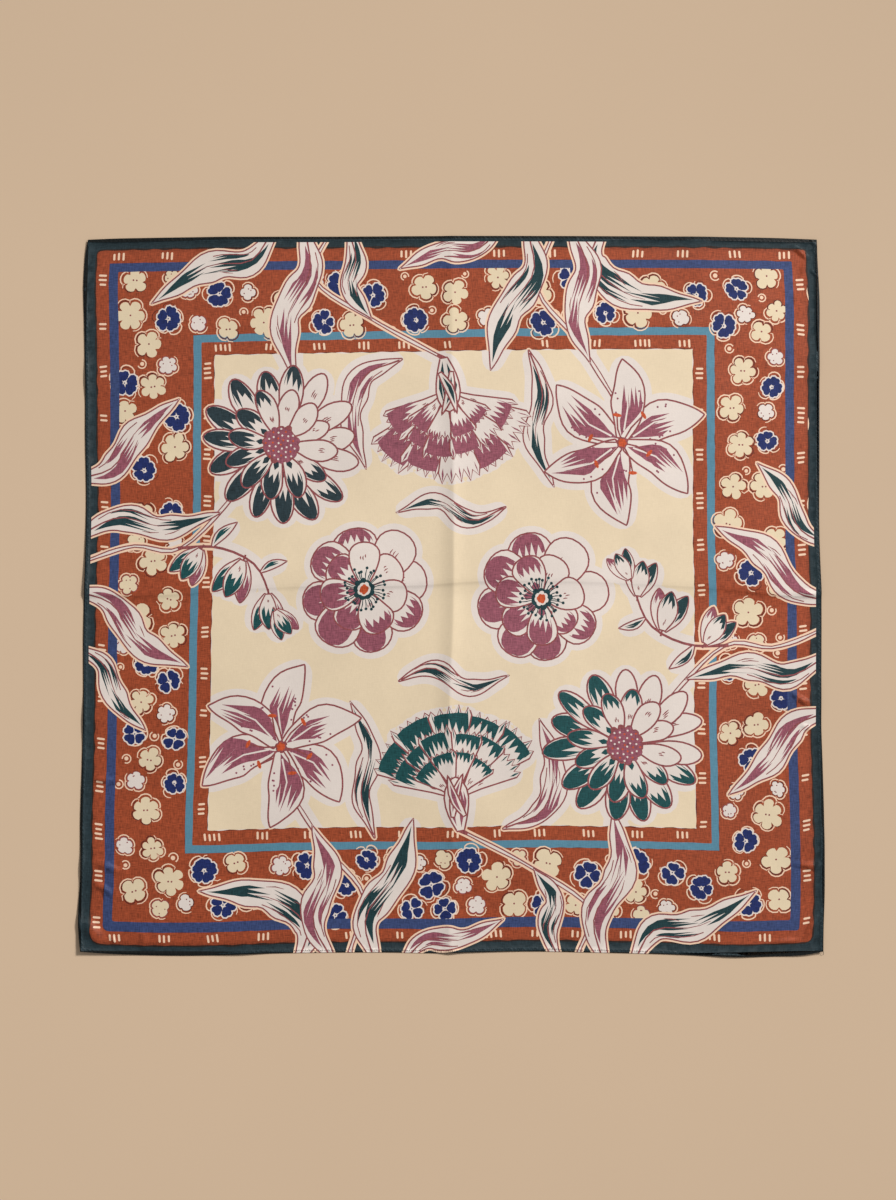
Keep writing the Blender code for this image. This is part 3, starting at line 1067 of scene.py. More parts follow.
    def cream(self, at: Points, radius: float, rng: Rng) -> None:
        """Prints a flower of the first kind.

        Args:
            at: its middle.
            radius: its radius.
            rng: random draws.
        """
        body = lobed(radius * 0.9, int(rng.choice((4, 5, 5, 6))), rng.uniform(0.36, 0.50), 7, rng)
        slip = rng.uniform(-1.0, 1.0, 2)
        self.arc(at + slip + grown(body, 3.3), 1.6, rng.uniform(0.6, 0.96), Ink.PEACH, rng)
        self.arc(at + slip + grown(body, 1.2), 1.5, rng.uniform(0.4, 0.8), Ink.DEEP_RUST, rng)
        self.art.band(at + grown(body, 0.3), Ink.BUTTER)
        for side in (-1, 1) if rng.random() < 0.5 else (0,):
            self.art.band(at + disc(side * 2.0, rng.uniform(-1, 1), 1.2, 6), Ink.OUTLINE)

    def dotted(self, at: Points, radius: float, rng: Rng) -> None:
        """Prints a dotted flower.

        Args:
            at: its middle.
            radius: its radius.
            rng: random draws.
        """
        body = lobed(radius * 0.86, int(rng.choice((4, 5, 5, 6))), 0.3, 6, rng)
        self.arc(at + grown(body, 2.7), 1.5, rng.uniform(0.65, 0.98), Ink.PEACH, rng)
        self.art.band(at + grown(body, 0.9), Ink.OUTLINE if rng.random() < 0.5 else Ink.DEEP_RUST)
        self.art.band(at + rng.uniform(-0.4, 0.4, 2) + grown(body, -0.1),
                      Ink.OFF_WHITE if rng.random() < 0.7 else Ink.BUTTER)
        for spot in polar(0.42 * radius, rng.uniform(0, 2 * np.pi, 3)):
            self.art.band(at + disc(*spot, 0.9, 5), Ink.OUTLINE)

    def navy(self, at: Points, radius: float, rng: Rng) -> None:
        """Prints a navy flower: pale lines, then the grounds of its petals, then the petals.

        Args:
            at: its middle.
            radius: its radius.
            rng: random draws.
        """
        petals = int(rng.choice((4, 5, 5, 5)))
        start = rng.uniform(0, 360)
        drops = []
        for petal in range(petals):
            wide = rng.uniform(0.36, 0.46) * radius * (5 / petals) ** 0.5
            reach = radius * rng.uniform(0.78, 0.98)
            drop = np.array(PETAL_DROP) * (reach, wide)
            drops.append(turned(drop, start + 360 * petal / petals + rng.uniform(-9, 9)))
        loop = lobed(radius * 1.2, petals, 0.3, 7, rng)
        self.arc(at + loop, 1.6, rng.uniform(0.6, 0.96), Ink.PEACH, rng)
        slip = rng.uniform(-0.6, 0.6, 2)
        self.arc(at + slip + grown(loop, -1.9), 1.0, rng.uniform(0.3, 0.7), Ink.DEEP_RUST, rng)
        for drop in drops:
            self.art.band(at + grown(drop, 1.7), Ink.OFF_WHITE)
        for drop in drops:
            self.art.band(at + drop, Ink.NAVY)
        self.dot(at, 0.8, 2.6, 7, Ink.OFF_WHITE, rng)
        self.dot(at, 0.5, 1.0, 5, Ink.NAVY, rng)

    def dot(self, at: Points, drift: float, radius: float, count: int, ink: Ink, rng: Rng) -> None:
        """Prints a small disc near a place."""
        self.art.band(at + disc(*rng.uniform(-drift, drift, 2), radius, count), ink)

    def arc(self, loop: Points, width: float, share: float, ink: Ink, rng: Rng) -> None:
        """Prints part of a closed line, as a pen that lifts would.

        Args:
            loop: the closed line.
            width: width of the pen.
            share: the part that prints.
            ink: its colour.
            rng: random draws.
        """
        count = max(4, int(len(loop) * share))
        path = np.roll(loop, rng.integers(len(loop)), axis=0)[:count]
        self.art.band(ribbon(path, width * (1 - 0.45 * np.linspace(-1, 1, count) ** 4)), ink)

    def ring(self, at: Points, radius: float, rng: Rng) -> None:
        """Prints a dot in its ring.

        Args:
            at: its middle.
            radius: its radius.
            rng: random draws.
        """
        start, sweep = rng.uniform(0, 2 * np.pi), rng.uniform(3.6, 5.6)
        angles = np.linspace(start, start + sweep, 10)
        self.art.band(ribbon(at + polar(radius * 0.85, angles), 1.5), Ink.PEACH)
        self.dot(at, 0.5, radius * 0.42, 7, Ink.PEACH, rng)


# ---- the big motifs ----
class Bloom(Enum):
    """The kinds of big flower, each drawn by the MotifPrint method of its name."""

    ANEMONE = "broad round petals in two rings, seen from above"
    DAISY = "many narrow petals in two rings, seen from above"
    LILY = "six long pointed petals, seen from above"
    PINK = "a fan of toothed petals on a cup, seen from the side"
    BELLS = "bells that hang from an arched stem"


class Growth(NamedTuple):
    """A stem or a leaf of the layout."""

    knots: tuple[Pair, ...]
    width: float
    ink: Ink
    zone: Zone = Zone.INSIDE


class BloomRow(NamedTuple):
    """A flower of the layout, with the ink that it has in each half."""

    kind: Bloom
    at: Pair
    turn: float
    scale: float
    inks: tuple[Ink, Ink]


class PetalRing(NamedTuple):
    """A ring of petals round a flower's middle."""

    count: int
    inner: float
    outer: float
    width: float
    belly: float
    tip: float
    offset: float
    fingers: int
    outside: bool


ANEMONE_RINGS = (PetalRing(8, 8, 68, 45, 0.70, 0.42, 0, 5, True),
                 PetalRing(7, 6, 47, 34, 0.70, 0.42, 26, 4, False))
DAISY_RINGS = (PetalRing(15, 16, 77, 22, 0.64, 0.50, 0, 3, True),
               PetalRing(12, 12, 54, 20, 0.60, 0.50, 12, 3, False))
LEAF_MARKS = ((0.10, 0.62, 0.26, 0.46, 4), (0.95, 0.48, 0.02, 0.50, 3), (0.24, 0.56, -0.56, 0.20, 2))
PETAL_HEEL = ((0.10, -0.3), (0.20, -0.42), (0.32, 0.0), (0.22, 0.44), (0.10, 0.3))
HAIR_WIDTHS = np.array((0.5, 1.3, 0.5))
STEMS = (
    Growth(((-122, -432), (-104, -364), (-150, -304), (-196, -232)), 5.4, Ink.OUTLINE, Zone.CLOTH),
    Growth(((150, -432), (164, -378), (96, -330), (9, -282)), 5.2, Ink.OUTLINE, Zone.CLOTH),
    Growth(((-445, 40), (-384, 60), (-322, 60), (-240, 146)), 5.2, Ink.OUTLINE),
)
LEAVES = (
    Growth(((-182, -438), (-170, -398), (-216, -360), (-300, -352)), 38, Ink.LEAF_GREEN, Zone.CLOTH),
    Growth(((-144, -438), (-164, -388), (-148, -332), (-166, -276)), 34, Ink.PLUM, Zone.CLOTH),
    Growth(((-92, -438), (-100, -386), (-66, -336), (-46, -268)), 38, Ink.LEAF_GREEN, Zone.CLOTH),
    Growth(((-58, -438), (-28, -412), (12, -412), (62, -390)), 25, Ink.PLUM, Zone.CLOTH),
    Growth(((126, -438), (114, -402), (122, -368), (96, -330)), 25, Ink.LEAF_GREEN, Zone.CLOTH),
    Growth(((180, -438), (170, -386), (200, -330), (190, -256)), 37, Ink.PLUM, Zone.CLOTH),
    Growth(((216, -438), (240, -400), (292, -392), (360, -350)), 34, Ink.LEAF_GREEN, Zone.CLOTH),
    Growth(((-448, 140), (-408, 154), (-378, 196), (-328, 236)), 34, Ink.PLUM),
    Growth(((-448, 72), (-400, 94), (-346, 82), (-278, 100)), 31, Ink.LEAF_GREEN),
    Growth(((-448, 6), (-406, -10), (-372, -56), (-316, -84)), 36, Ink.PLUM),
    Growth(((-448, -62), (-416, -84), (-400, -126), (-366, -160)), 26, Ink.LEAF_GREEN),
    Growth(((60, -282), (106, -262), (122, -212), (104, -150)), 30, Ink.PLUM),
    Growth(((-92, -292), (-108, -240), (-98, -186), (-122, -128)), 25, Ink.LEAF_GREEN),
    Growth(((-64, -104), (-24, -88), (20, -112), (68, -98)), 21, Ink.LEAF_GREEN),
)
BLOOMS = (
    BloomRow(Bloom.DAISY, (-206, 180), 8, 1.24, (Ink.DARK_GREEN, Ink.TEAL_GREEN)),
    BloomRow(Bloom.LILY, (-204, -182), 24, 1.20, (Ink.PLUM, Ink.PLUM)),
    BloomRow(Bloom.PINK, (6, -244), 96, 1.16, (Ink.TEAL_GREEN, Ink.PLUM)),
    BloomRow(Bloom.BELLS, (-330, 58), -22, 1.15, (Ink.TEAL_GREEN, Ink.LEAF_GREEN)),
    BloomRow(Bloom.ANEMONE, (-106, 6), 12, 1.16, (Ink.PLUM, Ink.PLUM)),
)


@dataclass
class MotifPrint:
    """Big flowers, stems and leaves: one half of a layout and the same half turned right round."""

    art: Artwork
    seed: int = 5
    shade_from: float = 215.0
    stem_points: int = 26
    rays: int = 30
    seeds: int = 34
    seed_gap: float = 2.7
    seed_turn: float = 2.4

    def draw(self) -> None:
        """Prints every motif, stems first, then leaves, then flowers."""
        rng = np.random.default_rng(self.seed)
        halves = [Brush(self.art, turn=turn) for turn in (0, 180)]
        for half in halves:
            for stem in STEMS:
                self.stem(half, stem, rng)
        for half in halves:
            for leaf in LEAVES:
                self.leaf(half, leaf, rng)
        for number, half in enumerate(halves):
            for row in BLOOMS:
                draw = getattr(self, row.kind.name.lower())
                draw(half.moved(row.at, row.turn, row.scale), row.inks[number], rng)

    def shade(self, degrees: float) -> float:
        """How deeply a petal that points this way is shaded, from 0 to 1."""
        return 0.5 + 0.5 * math.cos(math.radians(degrees - self.shade_from))

    @staticmethod
    def zone_on(half: Brush, zone: Zone) -> Zone:
        """Only the half that meets the bottom edge prints across its hem."""
        return zone if half.turn == 0 else Zone.INSIDE

    def stem(self, brush: Brush, row: Growth, rng: Rng) -> None:
        """Prints a stem: a brown line with a light streak and a pale surround.

        Args:
            brush: pen at its place.
            row: its path and width.
            rng: random draws.
        """
        path = curve_through(row.knots, self.stem_points)
        widths = row.width * (1 + 0.16 * np.sin(np.arange(self.stem_points) * 1.1))
        brush.surround(ribbon(path, row.width * 0.8))
        zone = self.zone_on(brush, row.zone)
        brush.pen(path, widths, row.ink, zone)
        lit = slice(2, self.stem_points - 3)
        brush.pen(path[lit] + rng.uniform(-0.3, 0.3, 2), widths[lit] - 3.0, Ink.OFF_WHITE, zone)

    def leaf(self, brush: Brush, row: Growth, rng: Rng) -> None:
        """Prints a leaf with its midrib, two or three flame marks and a few hairlines.

        Args:
            brush: pen at its place.
            row: its path, width and colour.
            rng: random draws.
        """
        cut_off = max(abs(row.knots[0][0]) - HALF_WIDTH, abs(row.knots[0][1]) - HALF_LENGTH) > 0
        blade = Blade(row.knots, row.width, belly=rng.uniform(0.4, 0.55), point=0.95,
                      foot=0.28 if cut_off else 0.05, count=40, wave=2.2, phase=rng.uniform(0, 6))
        brush.surround(blade.outline())
        zone = self.zone_on(brush, row.zone)
        side = rng.choice((-1, 1))
        marks = [(streak(start, end, side * lean, fat, fingers, rng), row.ink)
                 for start, end, lean, fat, fingers in LEAF_MARKS]
        brush.blade(blade, marks, zone)
        rib = [(a, 0.12 * side * math.sin(5 * a) - 0.16 * side) for a in np.linspace(0.02, 0.64, 9)]
        brush.pen(blade.within(rib), np.linspace(2.2, 0.6, 9), zone=zone)
        places = np.linspace(0.16, rng.uniform(0.5, 0.7), 8)
        turn_up = [(a, -side * (0.70 - 0.5 * (a - 0.4) ** 2)) for a in places]
        brush.pen(blade.within(turn_up), 1.2, zone=zone)
        for start in rng.uniform(0.3, 0.75, 2):
            lean = side * rng.uniform(0.45, 0.75)
            hair = blade.within([(start, lean), (start + 0.05, lean * 0.9), (start + 0.1, lean * 0.7)])
            brush.pen(hair, HAIR_WIDTHS, zone=zone)

    def petals(self, brush: Brush, ring: PetalRing, ink: Ink, rng: Rng) -> None:
        """Prints a ring of petals with shaded marks.

        Args:
            brush: placed at the flower's middle.
            ring: the petals' number and form; those of the outer ring get the pale surround.
            ink: of the marks.
            rng: draws the differences between petals.
        """
        for petal in (*range(0, ring.count, 2), *range(1, ring.count, 2)):
            turn = ring.offset + 360 * petal / ring.count + rng.uniform(-3, 3)
            reach = ring.outer * rng.uniform(0.93, 1.05)
            bend = rng.uniform(-0.05, 0.05) * reach
            blade = Blade(((ring.inner, 0), ((ring.inner + reach) / 2, bend), (reach, 0)),
                          ring.width * rng.uniform(0.9, 1.08), belly=ring.belly, point=ring.tip, foot=0.3,
                          count=14, wave=0.5, phase=rng.uniform(0, 6))
            deep = self.shade(brush.turn + turn) + rng.uniform(-0.14, 0.14)
            shaded = deep > 0.22
            marks = [(dipped(0.80 - 0.52 * min(deep, 1.0), ring.fingers, rng), ink)] if shaded else []
            petal_brush = brush.turned_by(turn)
            petal_brush.blade(blade, marks, surround=ring.outside)
            if deep > 0.5:
                petal_brush.lay(blade.within(PETAL_HEEL), ink)
            if deep < 0.5:
                along = rng.uniform(0.42, 0.6) - 0.2 * shaded
                petal_brush.hatch(blade, along, rng.uniform(-0.15, 0.15), 3, rng)

    def anemone(self, brush: Brush, ink: Ink, rng: Rng) -> None:
        """Prints an anemone.

        Args:
            brush: pen at its place.
            ink: its colour.
            rng: random draws.
        """
        for ring in ANEMONE_RINGS:
            self.petals(brush, ring, ink, rng)
        for index in range(self.rays):
            ray = brush.turned_by(360 * index / self.rays + rng.uniform(-4, 4))
            reach = rng.uniform(17, 23)
            ray.stroke(((9, 0), (reach / 2 + 5, 0.6), (reach, 0)), 1.1, Ink.LEAF_GREEN, 3)
            ray.lay(disc(reach, 0, 1.7, 6), Ink.LEAF_GREEN)
        self.eye(brush, ((11.5, 9, 0.14, 4, Ink.LEAF_GREEN), (7.5, 7, 0.16, 4, Ink.OFF_WHITE),
                         (5.0, 6, 0.16, 4, Ink.ORANGE)), rng)

    @staticmethod
    def eye(brush: Brush, discs: Sequence[tuple[float, int, float, int, Ink]], rng: Rng) -> None:
        """Prints a flower's middle: lobed discs of (radius, lobes, depth, points per lobe, ink)."""
        for *form, ink in discs:
            brush.lay(lobed(*form, rng), ink)

    def daisy(self, brush: Brush, ink: Ink, rng: Rng) -> None:
        """Prints a daisy.

        Args:
            brush: pen at its place.
            ink: its colour.
            rng: random draws.
        """
        for ring in DAISY_RINGS:
            self.petals(brush, ring, ink, rng)
        self.eye(brush, ((19, 14, 0.10, 4, Ink.OUTLINE), (17.4, 14, 0.10, 4, Ink.PLUM)), rng)
        seeds = np.arange(self.seeds)
        for index, spot in zip(seeds, polar(self.seed_gap * np.sqrt(seeds), self.seed_turn * seeds)):
            brush.lay(disc(*spot, 1.1, 5), Ink.OFF_WHITE if index % 3 else Ink.ORANGE)

    def lily(self, brush: Brush, ink: Ink, rng: Rng) -> None:
        """Prints a lily.

        Args:
            brush: pen at its place.
            ink: its colour.
            rng: random draws.
        """
        for first in (30, 0):
            for petal in range(3):
                turn = first * 2 + 120 * petal + rng.uniform(-4, 4)
                bend = rng.uniform(4, 9) * rng.choice((-1, 1))
                blade = Blade(((4, 0), (44, bend), (rng.uniform(80, 88), -bend)), 38 if first else 34,
                              belly=0.5, point=0.85, foot=0.35, count=20, wave=1.4, phase=rng.uniform(0, 6))
                deep = self.shade(brush.turn + turn)
                marks = [(streak(0.03, 0.70 + 0.24 * deep, 0.0, 0.62 + 0.20 * deep, 5, rng), ink)]
                petal_brush = brush.turned_by(turn)
                petal_brush.blade(blade, marks, surround=True)
                rib = blade.within([(0.1, 0), (0.4, 0.05), (0.7, 0.0), (0.9, 0.0)])
                petal_brush.pen(rib, np.array((1.8, 1.5, 1.1, 0.5)), Ink.OFF_WHITE)
                for along, across in zip(rng.uniform(0.25, 0.6, 7), rng.uniform(0.62, 0.82, 7)):
                    spot = blade.within([(along, across * rng.choice((-1, 1)))])[0]
                    petal_brush.lay(disc(*spot, 1.2, 5), ink)
        for stamen in range(6):
            ray = brush.turned_by(60 * stamen + 22 + rng.uniform(-8, 8))
            reach = rng.uniform(27, 35)
            ray.stroke(((3, 0), (reach / 2, 2), (reach, 0)), 1.7, Ink.OUTLINE, 5, 0.3)
            ray.lay(turned(disc(0, 0, 1, 8) * (4.6, 1.9), 70) + (reach, 0), Ink.ORANGE)
        self.eye(brush, ((6.5, 6, 0.2, 5, Ink.OUTLINE), (4.4, 6, 0.2, 5, Ink.ORANGE)), rng)

    def pink(self, brush: Brush, ink: Ink, rng: Rng) -> None:
        """Prints a pink, which grows along the brush's own first direction.

        Args:
            brush: pen at its place.
            ink: its colour.
            rng: random draws.
        """
        for reach, half, angles in ((94, 15, (-52, 52, -28, 28, 0)), (72, 15, (-60, 60, -36, 36, -12, 12)),
                                    (50, 17, (-44, 44, -15, 15))):
            for angle in angles:
                fan = brush.turned_by(angle + rng.uniform(-3, 3))
                self.toothed(fan, reach * rng.uniform(0.95, 1.04), half, 5, ink, rng)
        cup = Blade(((-34, 0), (-8, 1), (22, 0)), 25, belly=0.62, point=0.55, foot=0.3, count=11)
        brush.surround(cup.outline())
        green = Ink.LEAF_GREEN if ink is Ink.PLUM else Ink.PLUM
        brush.blade(cup, [(streak(0.06, 0.95, -0.38, 0.36, 3, rng), green),
                          (streak(0.10, 0.85, 0.46, 0.28, 2, rng), green)])
        for angle in (-38, 34):
            sepal = Blade(((-20, 0), (2, 3), (26, 0)), 9, belly=0.4, point=0.9, foot=0.4, count=8)
            brush.turned_by(angle * 0.5).blade(sepal, [(streak(0.1, 0.85, 0.1, 0.5, 1, rng), green)])

    def toothed(self, brush: Brush, reach: float, half: float, teeth: int, ink: Ink,
                rng: Rng) -> None:
        """Prints one fan-shaped petal with a toothed end and flames that rise from its foot.

        Args:
            brush: pen at its place.
            reach: length of the petal.
            half: half of the angle that it spans, in degrees.
            teeth: number of teeth.
            ink: its colour.
            rng: random draws.
        """
        count = 2 * teeth + 1
        radii = reach * np.where(np.arange(count) % 2, 1.0, 0.90) * rng.uniform(0.97, 1.03, count)
        end = polar(radii, np.radians(np.linspace(-half, half, count)))
        waist = 0.36 * reach, 0.085 * reach
        outline = np.vstack((end, waist, (4, 1.5), (4, -1.5), (waist[0], -waist[1])))
        brush.surround(outline)
        brush.lay(grown(outline, 0.8), Ink.OUTLINE)
        brush.lay(grown(outline, -0.8), Ink.OFF_WHITE)
        deep = self.shade(brush.turn)
        blade = Blade(((4, 0), (reach / 2, 0), (0.95 * reach, 0)), 2 * reach * math.sin(math.radians(half)),
                      belly=0.98, point=0.1, foot=0.08, count=8)
        if rng.random() < 0.82:
            brush.lay(blade.within(dipped(0.76 - 0.26 * deep, 5, rng, 0.78)), ink)
        for tip in end[1::2]:
            sides = np.outer((1, -1), (1.3, 0.9)) + tip * 0.9
            brush.lay(np.array((tip * 0.985, sides[0], tip * 0.83, sides[1])), ink)
        brush.hatch(blade, 0.34, 0.0, 3, rng)

    def bells(self, brush: Brush, ink: Ink, rng: Rng) -> None:
        """Prints an arched stem with its bells.

        Args:
            brush: pen at its place.
            ink: its colour.
            rng: random draws.
        """
        arch = curve_through(((0, 0), (40, 16), (84, 12), (118, -22)), 18)
        brush.surround(ribbon(arch, 3.0))
        brush.pen(arch, np.linspace(3.4, 1.6, 18))
        for place, hang, size in ((5, -106, 0.92), (9, -88, 1.04), (13, -72, 0.92), (17, -40, 0.74)):
            self.bell(brush.moved(arch[place], hang + rng.uniform(-6, 6), size), ink, rng)
        for place, rise, size in ((6, 66, 1.15), (11, 44, 0.95)):
            leaflet = Blade(((0, 0), (16, 3), (36 * size, 0)), 11 * size, belly=0.45, point=0.9, foot=0.2)
            twig = brush.moved(arch[place], rise)
            twig.surround(leaflet.outline())
            twig.blade(leaflet, [(streak(0.08, 0.85, 0.15, 0.5, 2, rng), ink)])

    def bell(self, brush: Brush, ink: Ink, rng: Rng) -> None:
        """Prints one bell of three petals that opens along the brush's own first direction.

        Args:
            brush: pen at its place.
            ink: its colour.
            rng: random draws.
        """
        brush.stroke(((-3, 0), (2, 0.5), (8, 0)), 2.4, Ink.OUTLINE, 4, 0.0)
        deep = self.shade(brush.turn - 90)
        for side in (-1, 1, 0):
            flare = side * rng.uniform(15, 19)
            blade = Blade(((4, side * 2), (24, side * 9), (50, flare if side else rng.uniform(-2, 2))),
                          20 if side else 23, belly=0.52, point=0.72, foot=0.30, count=12, wave=0.4)
            start = 0.34 if deep > 0.5 or side < 0 else 0.6
            mark = dipped(start, 3, rng, 0.82), ink if side <= 0 else Ink.PLUM
            brush.blade(blade, [mark], surround=True)
            brush.hatch(blade, 0.16, 0.0, 2, rng)


# ---- from print to cloth ----
def linked(name: str, data: bpy.types.ID) -> bpy.types.Object:
    """A new object of the scene.

    Args:
        name: its name.
        data: its mesh or light.

    Returns:
        The object.
    """
    made = bpy.data.objects.new(name, data)
    bpy.context.scene.collection.objects.link(made)
    return made


PIECES = ("silk_field", "hem_left", "hem_right", "hem_bottom", "hem_top")


def cut_sides(inset: float, count: int) -> list[Points]:
    """The four sides of the cut's outline moved in, anticlockwise, each without its last corner.

    Args:
        inset: distance in from the cut.
        count: points on each side.

    Returns:
        Points of each side.
    """
    corners = CORNERS * (HALF_CUT - inset)
    share = np.linspace(0, 1, count, endpoint=False)[:, None]
    return [start + (end - start) * share for start, end in zip(corners, np.roll(corners, -1, axis=0))]


def triangle_sides(triangles: np.ndarray) -> np.ndarray:
    """The directed edges of triangles: first every one's first, then the second and third ones."""
    return np.vstack([triangles[:, ends] for ends in ((0, 1), (1, 2), (2, 0))])


def strung(loops: Sequence[Points], lines: Sequence[Points], start: int = 0) -> tuple[Points, np.ndarray]:
    """Joins closed loops and open lines into one list of points with the edges along them.

    Args:
        loops: outlines whose last point leads back to the first.
        lines: rows of points with two loose ends.
        start: the number that the first point gets.

    Returns:
        All the points, and the pairs of point numbers that the edges join.
    """
    edges = []
    for row, closed in [(loop, True) for loop in loops] + [(line, False) for line in lines]:
        steps = start + np.arange(len(row))
        edges.append(np.column_stack((steps, np.roll(steps, -1)))[:None if closed else -1])
        start += len(row)
    return np.vstack([*loops, *lines]), np.vstack(edges)


@dataclass
class PlanarMap:
    """The flat cut split into triangles that each carry one ink and belong to one piece."""

    art: Artwork
    cell: float = 17.0
    fold_stations: tuple[float, ...] = (-18, -13, -9, -6, -3.9, -2.4, -1.2, -0.3, 0.8, 2.2, 4.5, 9, 15)
    merge: float = 0.03
    ease: float = 0.16
    span: float = 14.0
    rounds: int = 8
    side_points: int = 110
    row_points: int = 150
    hem_stations: tuple[float, ...] = (0.25, 0.7, 1.3, 2.0, 2.7, 3.4, 3.8, 4.1)

    def build(self) -> None:
        """Splits the cut along the lines where its ink or its piece changes, and nowhere else."""
        frames = [np.vstack(cut_sides(inset, self.side_points))
                  for inset in (0.0, HEM_WIDTH, self.art.plain_strip)]
        outlines = [shape.outline for shape in self.art.shapes()]
        flat, triangles = self.split(*strung(frames + outlines, self.hem_ends()))
        middles = flat[triangles].mean(axis=1)
        kinds = self.art.ink_at(middles) * len(PIECES) + self.piece_of(middles)
        flat, edges = self.thinned(flat, self.changes(triangles, kinds))
        rows, row_edges = strung([], self.fold_rows(), len(flat))
        self.flat, self.triangles = self.split(np.vstack((flat, rows, self.spread())),
                                               np.vstack((edges, row_edges)))
        middles = self.flat[self.triangles].mean(axis=1)
        self.inks, self.pieces = self.art.ink_at(middles), self.piece_of(middles)

    def split(self, points: Points, edges: np.ndarray) -> tuple[Points, np.ndarray]:
        """Makes triangles that no edge crosses, and leaves out those past the cut.

        Args:
            points: points of the flat cut.
            edges: pairs of their indices.

        Returns:
            The points and the triangles' corner indices.
        """
        vertices, _, faces, *_ = delaunay_2d_cdt(points.tolist(), edges.tolist(), [], 0, self.merge, False)
        flat, triangles = np.array([tuple(v) for v in vertices]), np.array(faces)
        middles = flat[triangles].mean(axis=1)
        within = (np.abs(middles) < HALF_CUT).all(axis=1)
        return flat, triangles[within]

    @staticmethod
    def piece_of(middles: Points) -> np.ndarray:
        """The index into PIECES of the piece that holds each point."""
        in_s, in_t = (np.abs(middles) < HALF_CUT - HEM_WIDTH).T
        return np.where(in_t, np.where(in_s, 0, np.where(middles[:, 0] < 0, 1, 2)),
                        np.where(middles[:, 1] < 0, 3, 4))

    @staticmethod
    def changes(triangles: np.ndarray, kinds: np.ndarray) -> np.ndarray:
        """The edges that lie between two kinds of triangle or on the cut's own edge.

        Args:
            triangles: corner indices of each triangle.
            kinds: a number for each triangle's kind.

        Returns:
            Pairs of point indices.
        """
        sides = np.sort(triangle_sides(triangles), axis=1)
        kinds = np.tile(kinds, 3)
        order = np.lexsort((sides[:, 1], sides[:, 0]))
        sides, kinds = sides[order], kinds[order]
        same_as_next = np.append((sides[1:] == sides[:-1]).all(axis=1), False)
        second = np.roll(same_as_next, 1)
        alike = np.append(same_as_next[:-1] & (kinds[1:] == kinds[:-1]), False)
        return sides[~second & ~alike]

    def thinned(self, flat: Points, edges: np.ndarray) -> tuple[Points, np.ndarray]:
        """Leaves out the points that a line's bend can do without.

        Args:
            flat: points of the flat cut.
            edges: pairs of their indices.

        Returns:
            The points and edges that stay.
        """
        for _ in range(self.rounds):
            starts, ends = np.concatenate((edges, edges[:, ::-1])).T
            order = np.argsort(starts, kind="stable")
            starts, ends = starts[order], ends[order]
            first = np.searchsorted(starts, np.arange(len(flat) + 1))
            middle = np.flatnonzero(np.diff(first) == 2)
            before, after = ends[first[middle]], ends[first[middle] + 1]
            run, off = flat[after] - flat[before], flat[middle] - flat[before]
            length = np.maximum(np.hypot(*run.T), 1e-9)
            bend = np.full(len(flat), np.inf)
            bend[middle] = np.abs(run[:, 0] * off[:, 1] - run[:, 1] * off[:, 0]) / length + middle * 1e-9
            least = (bend[middle] < np.minimum(bend[before], bend[after])) & (bend[middle] < self.ease)
            least &= (before != after) & (length < self.span)
            gone = np.zeros(len(flat), dtype=bool)
            gone[middle[least]] = True
            kept = edges[~gone[edges].any(axis=1)]
            edges = np.vstack((kept, np.column_stack((before, after))[least]))
        used, index = np.unique(edges, return_inverse=True)
        return flat[used], index.reshape(edges.shape)

    @staticmethod
    def hem_ends() -> list[Points]:
        """The four short lines where a side hem meets an end hem."""
        inner = HALF_CUT - HEM_WIDTH
        return [np.array((inner, (HALF_WIDTH, inner[1]))) * (s, t) for s in (-1, 1) for t in (-1, 1)]

    def grid(self) -> tuple[np.ndarray, np.ndarray]:
        """The coordinates of a wide grid over the cut, along its width and its length."""
        return tuple(np.arange(-half + 8, half - 6, self.cell) for half in HALF_CUT)

    def fold_rows(self) -> list[Points]:
        """Lines beside and on the two folds, which cut every line of the print that they cross.

        Returns:
            Points of each line.
        """
        s, t = self.grid()
        upright = read_table(UPRIGHT_LINE, t / CUT_LENGTH + 0.5)
        level = read_table(LEVEL_LINE, s / CUT_WIDTH + 0.5)
        return [row for station in self.fold_stations
                for row in (np.column_stack((upright + station, t)), np.column_stack((s, level + station)))]

    def spread(self) -> Points:
        """Extra points: a wide grid, those on the short creases, and the hem roll's stations.

        Returns:
            Points of the flat cut.
        """
        sets = [np.array(np.meshgrid(*self.grid())).reshape(2, -1).T]
        sets += [pucker.spots() for pucker in PUCKERS]
        for station in self.hem_stations:
            for turn, (half, reach) in ((1, HALF_CUT), (-1, HALF_CUT[::-1])):
                along = np.linspace(-half + station, half - station, self.row_points)
                sets += [np.column_stack((along, np.full_like(along, side * (reach - station))))[:, ::turn]
                         for side in (-1, 1)]
        return np.vstack(sets)


